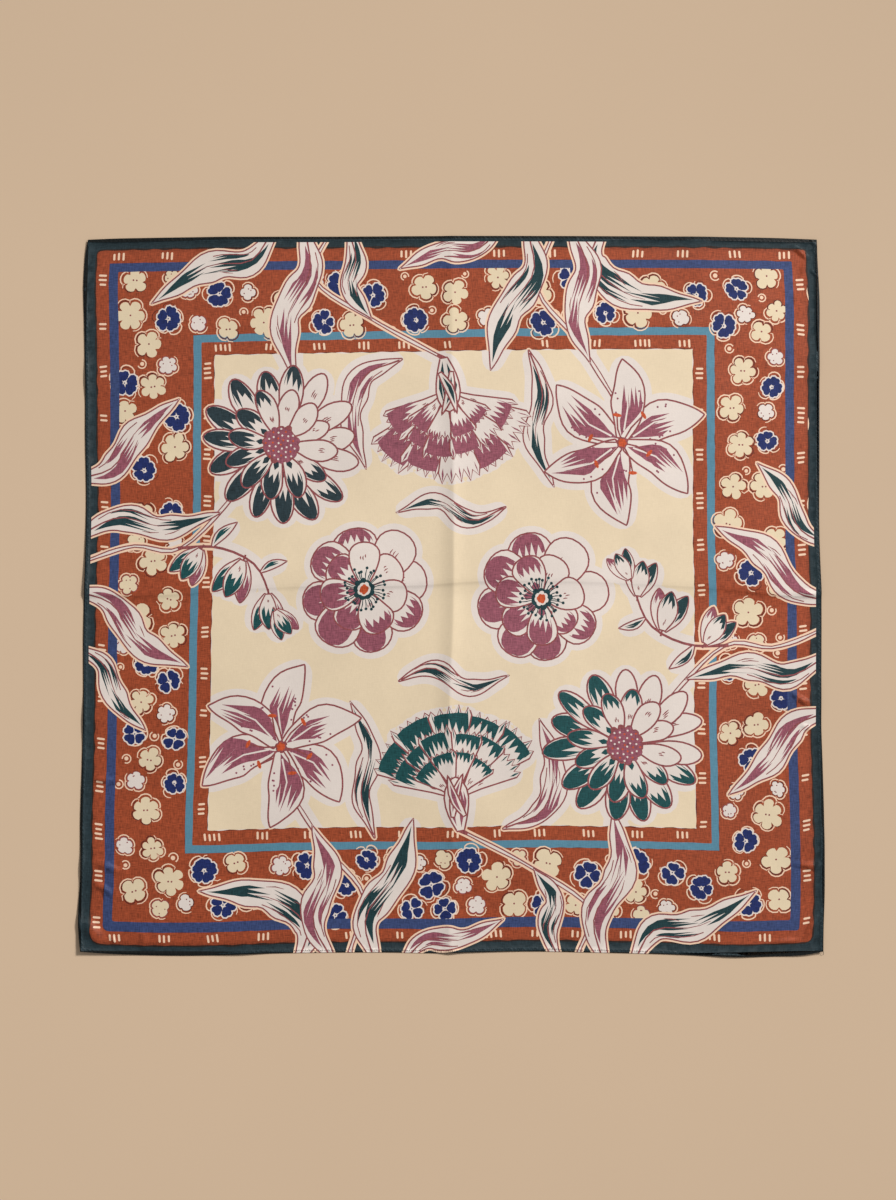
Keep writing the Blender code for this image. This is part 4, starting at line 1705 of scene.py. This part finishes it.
@dataclass(frozen=True)
class HemProfile:
    """Heights of the cloth's two faces, the field's thin sheet and the fuller folded hem."""

    sheet_low: float = 0.08
    under_roll: float = 0.62
    sheet_high: float = 0.75
    hem_top: float = 1.12
    round_over: float = 0.8
    seam_at: float = 3.8
    seam_reach: float = 0.8
    stitch_at: float = 2.7
    stitch_depth: float = 0.22
    pucker: float = 0.16

    def rolled(self, flat: Points) -> tuple[np.ndarray, np.ndarray]:
        """Distances in from the nearest cut edge, and how far the roll has risen there, up to 1.

        Args:
            flat: points of the flat cut.

        Returns:
            Both values for each point.
        """
        depth = np.clip((HALF_CUT - np.abs(flat)).min(axis=1), 0.0, None)
        edge = np.clip(depth / self.round_over, 0.0, 1.0)
        return depth, np.sqrt(np.clip(1 - (1 - edge) ** 2, 0, 1))

    def upper(self, flat: Points) -> np.ndarray:
        """Height of the printed face over the cloth's resting face.

        Args:
            flat: points of the flat cut.

        Returns:
            Millimetres for each point.
        """
        depth, roll = self.rolled(flat)
        run = flat[:, 0] + flat[:, 1]
        uneven = np.sin(run / 2.1) * np.sin(run / 7.3 + 1.0) + 0.6 * np.sin(run / 17.0)
        rolled = 1.0 + (self.hem_top + self.pucker * uneven - 1.0) * roll
        inward = np.clip((depth - self.seam_at) / self.seam_reach, 0.0, 1.0)
        height = rolled + (self.sheet_high - rolled) * inward * inward * (3 - 2 * inward)
        return height - self.stitch_depth * bump((depth - self.stitch_at) / self.seam_reach)

    def lower(self, flat: Points) -> np.ndarray:
        """Height of the hidden face over the cloth's resting face."""
        return self.sheet_low + self.under_roll * (1 - self.rolled(flat)[1])


@dataclass
class ClothPiece:
    """One piece of the cloth as a closed thin shell that carries the print on both faces."""

    node: str
    planar: PlanarMap
    cloth: LaidCloth
    profile: HemProfile

    def build(self) -> bpy.types.Object:
        """Makes the mesh with its print colours, its two maps and its own smooth directions.

        Returns:
            The new object, linked to the scene.
        """
        chosen = self.planar.pieces == PIECES.index(self.node)
        triangles, inks = self.planar.triangles[chosen], self.planar.inks[chosen]
        used, flat_index = np.unique(triangles, return_inverse=True)
        triangles = flat_index.reshape(triangles.shape)
        flat = self.planar.flat[used]
        count = len(flat)
        low = self.cloth.place(flat, self.profile.lower(flat))
        high = self.cloth.place(flat, self.profile.upper(flat))
        rim, owners = self.rim(triangles)
        walls = np.vstack([((a, b, b + count), (a, b + count, a + count)) for a, b in rim])
        faces = np.vstack((triangles[:, ::-1], walls, triangles + count))
        name = f"{self.node}_cloth"
        mesh = bpy.data.meshes.new(name)
        mesh.from_pydata(np.vstack((low, high)).tolist(), [], faces.tolist())
        palette = np.array([(*ink.linear(), 1.0) for ink in INKS])
        dyes = palette[np.concatenate((inks, np.repeat(inks[owners], 2), inks))]
        self.store(mesh.color_attributes.new("Print", "FLOAT_COLOR", "CORNER"), "color",
                   np.repeat(dyes, 3, axis=0))
        corners = faces.ravel() % count
        self.store(mesh.uv_layers.new(name="OFBake"), "uv", self.unit(flat)[corners])
        self.store(mesh.uv_layers.new(name="Cloth"), "uv", flat[corners] * MM)
        self.direct(mesh, flat, faces, slice(3 * len(triangles), 3 * (len(triangles) + len(walls))))
        mesh.update()
        return linked(name, mesh)

    @staticmethod
    def rim(triangles: np.ndarray) -> tuple[np.ndarray, np.ndarray]:
        """Directed edges that only one triangle has, and the number of that triangle.

        Args:
            triangles: corner indices of each triangle.

        Returns:
            Pairs of point indices, and the triangle of each.
        """
        sides = triangle_sides(triangles)
        _, first, times = np.unique(np.sort(sides, axis=1), axis=0, return_index=True, return_counts=True)
        single = first[times == 1]
        return sides[single], single % len(triangles)

    @staticmethod
    def unit(flat: Points) -> Points:
        """Flat points spread over the unit square."""
        low, high = flat.min(axis=0), flat.max(axis=0)
        return 0.004 + 0.992 * (flat - low) / (high - low)

    @staticmethod
    def store(layer: bpy.types.ID, key: str, values: np.ndarray) -> None:
        """Writes a row of values for each face corner into a layer of a mesh."""
        layer.data.foreach_set(key, values.astype(np.float32).ravel())

    def direct(self, mesh: bpy.types.Mesh, flat: Points, faces: np.ndarray, walls: slice,
               step: float = 0.3) -> None:
        """Gives every corner the smooth direction of the face that it lies on.

        Args:
            mesh: the closed shell.
            flat: flat places of the points of one of its faces.
            faces: the shell's triangles.
            walls: which face corners belong to its cut edge.
            step: how far to both sides, in millimetres, the slope is taken.
        """
        sides = []
        for level in (self.profile.lower, self.profile.upper):
            runs = []
            for probe in np.eye(2) * step:
                ahead, behind = flat + probe, flat - probe
                runs.append(self.cloth.place(ahead, level(ahead)) - self.cloth.place(behind, level(behind)))
            sides.append(unit_rows(np.cross(*runs)))
        outward = np.vstack((-sides[0], sides[1]))[faces.ravel()]
        a, b, c = np.array([v.co for v in mesh.vertices])[faces.T]
        outward[walls] = np.repeat(unit_rows(np.cross(b - a, c - a)), 3, axis=0)[walls]
        mesh.shade_smooth()
        mesh.normals_split_custom_set(outward.tolist())


# ---- finishes ----
class NodeKit:
    """Short hand for building a node tree."""

    def __init__(self, tree: bpy.types.NodeTree) -> None:
        """Takes the tree that the nodes go into."""
        self.tree = tree

    def feed(self, target: Socket, value: object) -> None:
        """Links an input to another node's output, or sets its plain value.

        Args:
            target: the input.
            value: an output or a plain value.
        """
        if isinstance(value, Socket):
            self.tree.links.new(value, target)
        else:
            target.default_value = value

    def node(self, kind: str, feeds: dict[str | int, object] | None = None,
             **settings: object) -> bpy.types.bpy_prop_collection:
        """Adds a node.

        Args:
            kind: the node's type name.
            feeds: what each of its inputs gets, a socket or a plain value.
            settings: its properties.

        Returns:
            The node's outputs.
        """
        node = self.tree.nodes.new(kind)
        for key, value in settings.items():
            setattr(node, key, value)
        for key, value in (feeds or {}).items():
            self.feed(node.inputs[key], value)
        return node.outputs

    def maths(self, operation: str, first: object, second: object, kind: str = "Math") -> Socket:
        """The number that two values give, each a socket or plain: numbers, or vectors for VectorMath."""
        return self.node(f"ShaderNode{kind}", {0: first, 1: second}, operation=operation)["Value"]

    def product(self, first: object, *others: object) -> Socket:
        """Several values multiplied together, the first two first."""
        for other in others:
            first = self.maths("MULTIPLY", first, other)
        return first


class Finish(NodeKit):
    """A material with a Principled shader, built from its nodes."""

    def __init__(self, name: str) -> None:
        """Starts an empty material.

        Args:
            name: its name.
        """
        self.material = bpy.data.materials.new(name)
        self.material.use_nodes = True
        super().__init__(self.material.node_tree)
        self.shader = self.tree.nodes["Principled BSDF"]

    def finished(self, **values: object) -> bpy.types.Material:
        """Feeds the shader's inputs, with underscores for spaces, and hands over the material."""
        for key, value in values.items():
            self.feed(self.shader.inputs[key.replace("_", " ")], value)
        return self.material

    def noise(self, vector: Socket, scale: float, detail: float = 3.0,
              stretch: Triple = (1, 1, 1), turn: float = 0.0) -> Socket:
        """A noise value over a vector, stretched and turned first.

        Args:
            vector: where it is read.
            scale: its fineness.
            detail: number of octaves.
            stretch: scale along each axis.
            turn: angle in radians.

        Returns:
            Its value, from 0 to 1.
        """
        mapped = self.node("ShaderNodeMapping",
                           {"Scale": stretch, "Rotation": (0, 0, turn), "Vector": vector})
        return self.node("ShaderNodeTexNoise",
                         {"Scale": scale, "Detail": detail, "Vector": mapped["Vector"]})["Fac"]

    def twill(self, vector: Socket, size: float, distortion: float = 0.0) -> Socket:
        """Diagonal ribs of a size in metres."""
        return self.node("ShaderNodeTexWave", {"Scale": RIB_SCALE / size, "Distortion": distortion,
                                               "Vector": vector},
                         wave_type="BANDS", bands_direction="DIAGONAL")["Fac"]

    def ranged(self, value: Socket, low: float, high: float,
               source: Pair = (0.3, 0.7)) -> Socket:
        """A value moved from a source range to another range."""
        return self.node("ShaderNodeMapRange", {"From Min": source[0], "From Max": source[1], "To Min": low,
                                                "To Max": high, "Value": value})["Result"]

    def edge_distance(self, cloth: Socket) -> Socket:
        """How far in from the nearest cut edge a place on the cloth lies, in metres.

        Args:
            cloth: place on the flat cut, in metres.

        Returns:
            The distance.
        """
        size = self.node("ShaderNodeVectorMath", {0: cloth}, operation="ABSOLUTE")["Vector"]
        inward = self.node("ShaderNodeSeparateXYZ", {"Vector": size})
        return self.maths("MINIMUM", self.maths("SUBTRACT", HALF_WIDTH * MM, inward["X"]),
                          self.maths("SUBTRACT", HALF_LENGTH * MM, inward["Y"]))

    def mixed(self, share: Socket, colour: Sequence[float], low: float, high: float) -> Socket:
        """A colour that goes between two strengths of itself."""
        ends = {socket: (*(strength * c for c in colour), 1) for socket, strength in ((6, low), (7, high))}
        return self.node("ShaderNodeMix", {0: share, **ends}, data_type="RGBA")[2]

    def toned(self, colour: Socket, value: Socket) -> Socket:
        """A colour made brighter or darker by a factor."""
        return self.node("ShaderNodeHueSaturation", {"Value": value, "Color": colour})["Color"]

    def bump(self, height: Socket, strength: float, distance: float,
             before: Socket | None = None) -> Socket:
        """A bump node over a height, on top of another's result."""
        under = {} if before is None else {"Normal": before}
        return self.node("ShaderNodeBump", {"Strength": strength, "Distance": distance, "Height": height,
                                            **under})["Normal"]


ALONG_WARP, ALONG_WEFT = (1.0, 0.12, 1.0), (0.12, 1.0, 1.0)
RIB_SCALE = 0.31


@dataclass(frozen=True)
class ClothFinish:
    """What the finishes on cloth share: the print's own colour, unevenly dyed, and a soft sheen."""

    name: str
    dye: Pair
    dye_scale: float
    roughness: Pair
    roughness_noise: Pair
    anisotropy: float
    specular: float
    sheen: float = 0.10
    sheen_roughness: float = 0.4
    ior: float = 1.45

    def tones(self, kit: Finish, place: Socket, dye: Socket) -> list[Socket]:
        """The factors that the dye's strength is multiplied by."""
        raise NotImplementedError

    def relief(self, kit: Finish, place: Socket) -> Socket:
        """The surface directions that its weave gives."""
        raise NotImplementedError

    def build(self) -> bpy.types.Material:
        """Makes the material from the place on the flat cut and the print's colour there.

        Returns:
            The material.
        """
        kit = Finish(self.name)
        place = kit.node("ShaderNodeUVMap", uv_map="Cloth")["UV"]
        dye = kit.node("ShaderNodeAttribute", attribute_name="Print")["Color"]
        value = kit.product(kit.ranged(kit.noise(place, self.dye_scale), *self.dye),
                            *self.tones(kit, place, dye))
        return kit.finished(
            Base_Color=kit.toned(dye, value), Normal=self.relief(kit, place),
            Roughness=kit.ranged(kit.noise(place, *self.roughness_noise), *self.roughness),
            Sheen_Weight=self.sheen, Sheen_Roughness=self.sheen_roughness, Anisotropic=self.anisotropy,
            IOR=self.ior, Specular_IOR_Level=self.specular)


@dataclass(frozen=True)
class SilkFinish(ClothFinish):
    """Printed silk twill: soft sheen, fine diagonal ribs, faint slubs and slightly uneven dye."""

    name: str = "printed_silk"
    dye: Pair = (0.94, 1.05)
    dye_scale: float = 9.0
    roughness: Pair = (0.45, 0.57)
    roughness_noise: Pair = (26.0, 2.0)
    anisotropy: float = 0.35
    specular: float = 0.22
    rib_size: float = 0.0009
    rib_depth: float = 0.00003
    rib_distortion: float = 0.6
    slack_depth: float = 0.0010
    slack_scale: float = 16.0
    slub_depth: float = 0.00004
    slub_scale: float = 700.0
    warp_scale: float = 950.0
    weft_scale: float = 1050.0
    grain: Pair = (0.27, 0.025)
    grain_gain: float = 5.0
    pale_blue: Pair = (0.15, 0.42)
    rust_blue: Pair = (0.03, 0.07)
    # Painted seam shadow: where the rust darkens beside the hem, how dark it gets, and how far its edge
    # wanders.
    seam: Pair = (0.0125, 0.0180)
    seam_painted_shadow: float = 0.70
    seam_drift: float = 0.001
    seam_scale: float = 60.0

    def tones(self, kit: Finish, place: Socket, dye: Socket) -> list[Socket]:
        """The thread grain, finer on pale inks, and a painted seam shadow that darkens the rust beside the
        plain strip along the edge.

        Args:
            kit: tools for the material's nodes.
            place: place on the flat cut, in metres.
            dye: the print's colour.

        Returns:
            Factors of the colour.
        """
        blue = kit.node("ShaderNodeSeparateColor", {"Color": dye})["Blue"]
        warp, weft = (kit.maths("SUBTRACT", kit.noise(place, scale, 2.0, stretch), 0.5) for scale, stretch
                      in ((self.warp_scale, ALONG_WARP), (self.weft_scale, ALONG_WEFT)))
        gain = kit.product(kit.ranged(blue, *self.grain, self.pale_blue), self.grain_gain)
        weave = kit.product(kit.maths("ADD", warp, weft), gain)
        # Painted seam shadow: the rust darkens toward the hem seam, in a slightly uneven strip.
        drift = kit.ranged(kit.noise(place, self.seam_scale), -self.seam_drift, self.seam_drift)
        inward = kit.maths("ADD", kit.edge_distance(place), drift)
        painted_shadow = kit.product(kit.ranged(inward, 1 - self.seam_painted_shadow, 0.0, self.seam),
                           kit.ranged(blue, 1.0, 0.0, self.rust_blue))
        return [kit.maths("ADD", weave, 1.0), kit.maths("SUBTRACT", 1.0, painted_shadow)]

    def relief(self, kit: Finish, place: Socket) -> Socket:
        """Broad slackness, then slubs, then the twill's ribs.

        Args:
            kit: tools for the material's nodes.
            place: place on the flat cut, in metres.

        Returns:
            The surface normal.
        """
        slack = kit.noise(place, self.slack_scale, 2.0, (1.0, 0.8, 1.0), 0.5)
        slub = kit.noise(place, self.slub_scale, 2.0, (1.0, 0.1, 1.0))
        under = kit.bump(slub, 0.35, self.slub_depth, kit.bump(slack, 1.0, self.slack_depth))
        return kit.bump(kit.twill(place, self.rib_size, self.rib_distortion), 1.0, self.rib_depth, under)


@dataclass(frozen=True)
class HemFinish(ClothFinish):
    """The same silk folded over: fuller, tighter, with small puckers at the stitches."""

    name: str = "hem_silk"
    dye: Pair = (0.88, 1.1)
    dye_scale: float = 130.0
    roughness: Pair = (0.39, 0.52)
    roughness_noise: Pair = (60.0, 3.0)
    anisotropy: float = 0.25
    specular: float = 0.25
    pucker_size: float = 0.0026
    pucker_depth: float = 0.00016
    pucker_distortion: float = 1.2
    weave_scale: float = 900.0
    weave_depth: float = 0.00005
    grain: Pair = (0.70, 1.34)
    grain_scale: float = 700.0

    def tones(self, kit: Finish, place: Socket, dye: Socket) -> list[Socket]:
        """A visible grain."""
        return [kit.ranged(kit.noise(place, self.grain_scale, 2.0, (1.0, 0.3, 1.0)), *self.grain)]

    def relief(self, kit: Finish, place: Socket) -> Socket:
        """Puckers over a fine weave.

        Args:
            kit: tools for the material's nodes.
            place: place on the flat cut, in metres.

        Returns:
            The surface normal.
        """
        weave = kit.bump(kit.noise(place, self.weave_scale, 2.0), 0.5, self.weave_depth)
        pucker = kit.twill(place, self.pucker_size, self.pucker_distortion)
        return kit.bump(pucker, 0.8, self.pucker_depth, weave)


@dataclass(frozen=True)
class ThreadFinish:
    """Dark green sewing thread with a fine twist."""

    name: str = "sewing_thread"
    colour: Triple = (0.006, 0.008, 0.009)
    fibre_scale: float = 800.0
    twist: float = 0.0004
    twist_depth: float = 0.00005

    def build(self) -> bpy.types.Material:
        """Makes the material.

        Returns:
            The sewing thread.
        """
        kit = Finish(self.name)
        place = kit.node("ShaderNodeTexCoord")["Object"]
        return kit.finished(
            Base_Color=kit.mixed(kit.noise(place, self.fibre_scale, 2.0), self.colour, 1.0, 2.1),
            Normal=kit.bump(kit.twill(place, self.twist), 0.7, self.twist_depth),
            Roughness=0.6, Sheen_Weight=0.04, Sheen_Roughness=0.5, Specular_IOR_Level=0.2)


LAMP_AT = (0.52, 0.42, 0.88)


@dataclass(frozen=True)
class PaperFinish:
    """The plain warm surface that the scarf lies on. Its colour has painted shade where the near lamp
    shines brightest and painted light where that lamp is dim, which cancel the lamp's pool of light so that
    the surface looks even. It also has painted shade that darkens it a little away from its middle.
    """

    name: str = "backdrop_paper"
    colour: Triple = (0.640, 0.473, 0.326)
    lamp_share: float = 0.175
    painted_vignette: float = 0.05
    cloud_scale: float = 2.2
    grain_scale: float = 700.0
    grain_depth: float = 0.0001

    def build(self) -> bpy.types.Material:
        """Makes the material.

        Returns:
            The backdrop's paper.
        """
        kit = Finish(self.name)
        place = kit.node("ShaderNodeTexCoord")["Object"]
        # Painted shade and light: the colour is divided by the near lamp's falloff, so it is darker under
        # the lamp and lighter away from it.
        falloff = kit.maths("POWER", kit.maths("DIVIDE", math.dist(LAMP_AT, (0, 0, 0)),
                                               kit.maths("DISTANCE", place, LAMP_AT, "VectorMath")), 3.0)
        light = kit.maths("ADD", kit.product(falloff, self.lamp_share), 1.0 - self.lamp_share)
        # Painted shade: the colour darkens a little away from the middle.
        far = kit.maths("MINIMUM", kit.maths("DOT_PRODUCT", place, place, "VectorMath"), 1.0)
        edge = kit.product(far, -self.painted_vignette)
        colour = kit.mixed(kit.noise(place, self.cloud_scale, 4.0), self.colour, 0.97, 1.03)
        return kit.finished(
            Base_Color=kit.toned(colour, kit.maths("DIVIDE", kit.maths("ADD", edge, 1.0), light)),
            Normal=kit.bump(kit.noise(place, self.grain_scale), 0.4, self.grain_depth), Roughness=0.85)


# ---- hem stitches ----
@dataclass
class HemStitches:
    """Small machine stitches all round the hem, and the thread's end at one corner."""

    cloth: LaidCloth
    profile: HemProfile
    pitch: float = 2.6
    length: float = 1.9
    width: float = 0.6
    above: float = 0.12
    length_spread: Pair = (0.82, 1.1)
    waver: float = 0.18
    waver_rate: float = 0.21
    side_points: int = 340
    seed: int = 3
    end_inset: float = 2.0
    end_steps: tuple[Triple, ...] = ((0, 0, 0), (2.2, -2.6, -0.2), (2.0, -6.4, -2.8))
    end_points: int = 9
    end_radius: float = 0.34
    end_sides: int = 6
    end_taper: float = 0.35

    def seam(self) -> Points:
        """The closed stitch line in the scene, which wavers a little.

        Returns:
            Its points in metres.
        """
        flat = []
        for turn, line in enumerate(cut_sides(self.profile.stitch_at, self.side_points)):
            run = line[-1] - line[0]
            left = np.array((-run[1], run[0])) / np.linalg.norm(run)
            sway = self.waver * np.sin(np.arange(len(line)) * self.waver_rate + turn)
            flat.append(line + np.outer(sway, left))
        flat = np.vstack(flat)
        return self.cloth.place(flat, self.profile.upper(flat) + self.above)

    def tree(self, thread: bpy.types.Material) -> bpy.types.GeometryNodeTree:
        """Node tree that sets a stitch at every pitch along a closed line of points.

        Args:
            thread: material of the thread.

        Returns:
            The node tree.
        """
        tree = bpy.data.node_groups.new("stitch_line", "GeometryNodeTree")
        for name, way, kind in (("Seam", "INPUT", "Geometry"), ("Pitch", "INPUT", "Float"),
                                ("Length", "INPUT", "Float"), ("Width", "INPUT", "Float"),
                                ("Seed", "INPUT", "Int"), ("Stitches", "OUTPUT", "Geometry")):
            tree.interface.new_socket(name, in_out=way, socket_type=f"NodeSocket{kind}")
        kit = NodeKit(tree)
        given = kit.node("NodeGroupInput")
        curve = kit.node("GeometryNodeMeshToCurve", {"Mesh": given["Seam"]})
        spaced = kit.node("GeometryNodeResampleCurve", {"Curve": curve["Curve"], "Length": given["Pitch"]},
                          mode="LENGTH")
        ball = kit.node("GeometryNodeMeshUVSphere", {"Segments": 8, "Rings": 5, "Radius": 0.5})
        align = kit.node("FunctionNodeAlignRotationToVector",
                         {"Vector": kit.node("GeometryNodeInputTangent")["Tangent"]}, axis="X")
        least, most = self.length_spread
        uneven = kit.node("FunctionNodeRandomValue", {2: least, 3: most, "Seed": given["Seed"]},
                          data_type="FLOAT")
        size = kit.node("ShaderNodeCombineXYZ", {"X": kit.product(given["Length"], uneven[1]),
                                                 "Y": given["Width"], "Z": given["Width"]})
        each = kit.node("GeometryNodeInstanceOnPoints", {
            "Points": spaced["Curve"], "Instance": ball["Mesh"], "Rotation": align["Rotation"],
            "Scale": size["Vector"]})
        real = kit.node("GeometryNodeRealizeInstances", {"Geometry": each["Instances"]})
        smooth = kit.node("GeometryNodeSetShadeSmooth", {"Geometry": real["Geometry"]})
        paint = kit.node("GeometryNodeSetMaterial", {"Geometry": smooth["Geometry"], "Material": thread})
        kit.node("NodeGroupOutput", {"Stitches": paint["Geometry"]})
        return tree

    def build(self, thread: bpy.types.Material) -> bpy.types.Object:
        """Makes the stitches and the thread's end as one plain mesh.

        Args:
            thread: material of the thread.

        Returns:
            The object, without modifiers.
        """
        seam = self.seam()
        base = bpy.data.meshes.new("seam_line")
        count = len(seam)
        base.from_pydata(seam.tolist(), [(i, (i + 1) % count) for i in range(count)], [])
        carrier = linked("seam_line", base)
        modifier = carrier.modifiers.new("stitches", "NODES")
        modifier.node_group = self.tree(thread)
        sockets = {item.name: item.identifier for item in modifier.node_group.interface.items_tree
                   if item.item_type == "SOCKET" and item.in_out == "INPUT"}
        for name, value in (("Pitch", self.pitch * MM), ("Length", self.length * MM),
                            ("Width", self.width * MM), ("Seed", self.seed)):
            modifier[sockets[name]] = value
        carrier.update_tag()
        evaluated = carrier.evaluated_get(bpy.context.evaluated_depsgraph_get())
        mesh = bpy.data.meshes.new_from_object(evaluated)
        carrier.modifiers.clear()
        bpy.data.objects.remove(carrier)
        self.add_thread_end(mesh)
        mesh.materials.clear()
        mesh.materials.append(thread)
        mesh.name = "hem_stitches"
        return linked("hem_stitches", mesh)

    def add_thread_end(self, mesh: bpy.types.Mesh) -> None:
        """Adds a short loose end of thread at the bottom right corner.

        Args:
            mesh: mesh that it is added to.
        """
        flat = np.array((HALF_WIDTH - self.end_inset, -HALF_LENGTH + self.end_inset))
        start = self.cloth.place(flat[None], 1.0)[0] / MM
        path = curve_through([start + step for step in self.end_steps], self.end_points)
        body = bmesh.new()
        body.from_mesh(mesh)
        rings = []
        angles = np.linspace(0, 2 * np.pi, self.end_sides, endpoint=False)
        for place, share in zip(path, np.linspace(0, 1, len(path))):
            radius = self.end_radius * (1 - self.end_taper * share)
            rings.append([body.verts.new(Vector((place + (radius * math.cos(a), 0.4 * radius * math.sin(a),
                                                          radius * math.sin(a))) * MM)) for a in angles])
        for ring, after in zip(rings, rings[1:]):
            for corners in zip(ring, ring[1:] + ring[:1], after[1:] + after[:1], after):
                body.faces.new(corners).smooth = True
        body.faces.new(rings[0][::-1])
        body.faces.new(rings[-1])
        bmesh.ops.recalc_face_normals(body, faces=body.faces)
        body.to_mesh(mesh)
        body.free()


# ---- the set and the whole ----
@dataclass
class Studio:
    """The surface below, the light and the camera."""

    camera_at: Triple = (-0.0042, -0.0042, 2.8)
    lens: float = 70.0
    key_power: float = 2.70
    key_spread: float = 12.0
    key_from: Triple = (2.0, 1.8, 1.96)
    lamp_power: float = 10.5
    lamp_radius: float = 0.16
    fill: float = 0.275
    floor_half: float = 4.0
    light_colour: Triple = (1.0, 0.985, 0.96)
    sky_colour: Triple = (1.0, 0.99, 0.98)

    def build(self) -> None:
        """Sets the floor, the lights, the surroundings and the camera."""
        mesh = bpy.data.meshes.new("backdrop")
        mesh.from_pydata([(*corner, 0) for corner in CORNERS * self.floor_half], [], [(0, 1, 2, 3)])
        mesh.materials.append(PaperFinish().build())
        floor = linked("backdrop", mesh)
        floor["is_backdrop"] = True
        self.light("key", "SUN", self.key_from, energy=self.key_power, angle=math.radians(self.key_spread))
        self.light("lamp", "POINT", LAMP_AT, energy=self.lamp_power, shadow_soft_size=self.lamp_radius)
        world = bpy.data.worlds.new("surroundings")
        world.use_nodes = True
        background = world.node_tree.nodes["Background"]
        background.inputs["Color"].default_value = (*self.sky_colour, 1)
        background.inputs["Strength"].default_value = self.fill
        scene = bpy.context.scene
        scene.world = world
        scene.view_settings.view_transform = "Standard"
        view = bpy.data.cameras.new("camera")
        view.lens = self.lens
        scene.camera = linked("camera", view)
        scene.camera.location = self.camera_at

    def light(self, name: str, kind: str, source: Triple, **settings: float) -> None:
        """Adds a light that shines from its place onto the middle of the cloth.

        Args:
            name: its name.
            kind: kind of light.
            source: its place, in metres.
            settings: values of the light.
        """
        lamp = bpy.data.lights.new(name, kind)
        for key, value in settings.items():
            setattr(lamp, key, value)
        lamp.color = self.light_colour
        light = linked(name, lamp)
        light.location = source
        light.rotation_euler = (-Vector(source)).to_track_quat("-Z", "Y").to_euler()


@dataclass
class SilkScarf:
    """The whole scarf: the printed field, four hems and the stitches."""

    cloth: LaidCloth = LaidCloth()
    profile: HemProfile = HemProfile()
    silk: SilkFinish = SilkFinish()
    hem: HemFinish = HemFinish()
    thread: ThreadFinish = ThreadFinish()

    def build(self) -> None:
        """Draws the print, builds every piece and ties each to the root."""
        art = Artwork()
        BorderPrint(art).draw()
        MotifPrint(art).draw()
        planar = PlanarMap(art)
        planar.build()
        LOG.info("print: %d areas, %d triangles", len(art.shapes()), len(planar.triangles))
        silk, hem, thread = self.silk.build(), self.hem.build(), self.thread.build()
        hems = [self.piece(planar, node, hem, "hem_silk")
                for node in ("hem_bottom", "hem_top", "hem_left", "hem_right")]
        sheet = self.piece(planar, "silk_field", silk, "printed_silk")
        stitches = HemStitches(self.cloth, self.profile).build(thread)
        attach(stitches, "root")
        LOG.info("hem_stitches: %d faces", len(stitches.data.polygons))

    def piece(self, planar: PlanarMap, node: str, material: bpy.types.Material,
              slot: str) -> bpy.types.Object:
        """Makes the cloth of one node, gives it its material and ties it to the frame.

        Args:
            planar: the shared map.
            node: name of the node.
            material: its finish.
            slot: name of the slot; not used.

        Returns:
            The object.
        """
        piece = ClothPiece(node, planar, self.cloth, self.profile).build()
        piece.data.materials.append(material)
        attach(piece, "root")
        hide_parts(node)
        LOG.info("%s: %d faces", piece.name, len(piece.data.polygons))
        return piece


def plain(value: object) -> object:
    """Turns vectors and tuples into plain lists.

    Args:
        value: a value or nested values.

    Returns:
        What json can write.
    """
    if isinstance(value, dict):
        return {key: plain(item) for key, item in value.items()}
    if isinstance(value, (str, int, float, bool)) or value is None:
        return value
    return [plain(item) for item in value]


def main() -> None:
    """Builds the scarf and its set."""
    logging.basicConfig(level=logging.INFO, format="%(name)s: %(message)s")
    SilkScarf().build()
    Studio().build()
    {"frame": plain(CAD_BOX), "finished": plain(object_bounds())}


if __name__ == "__main__":
    main()
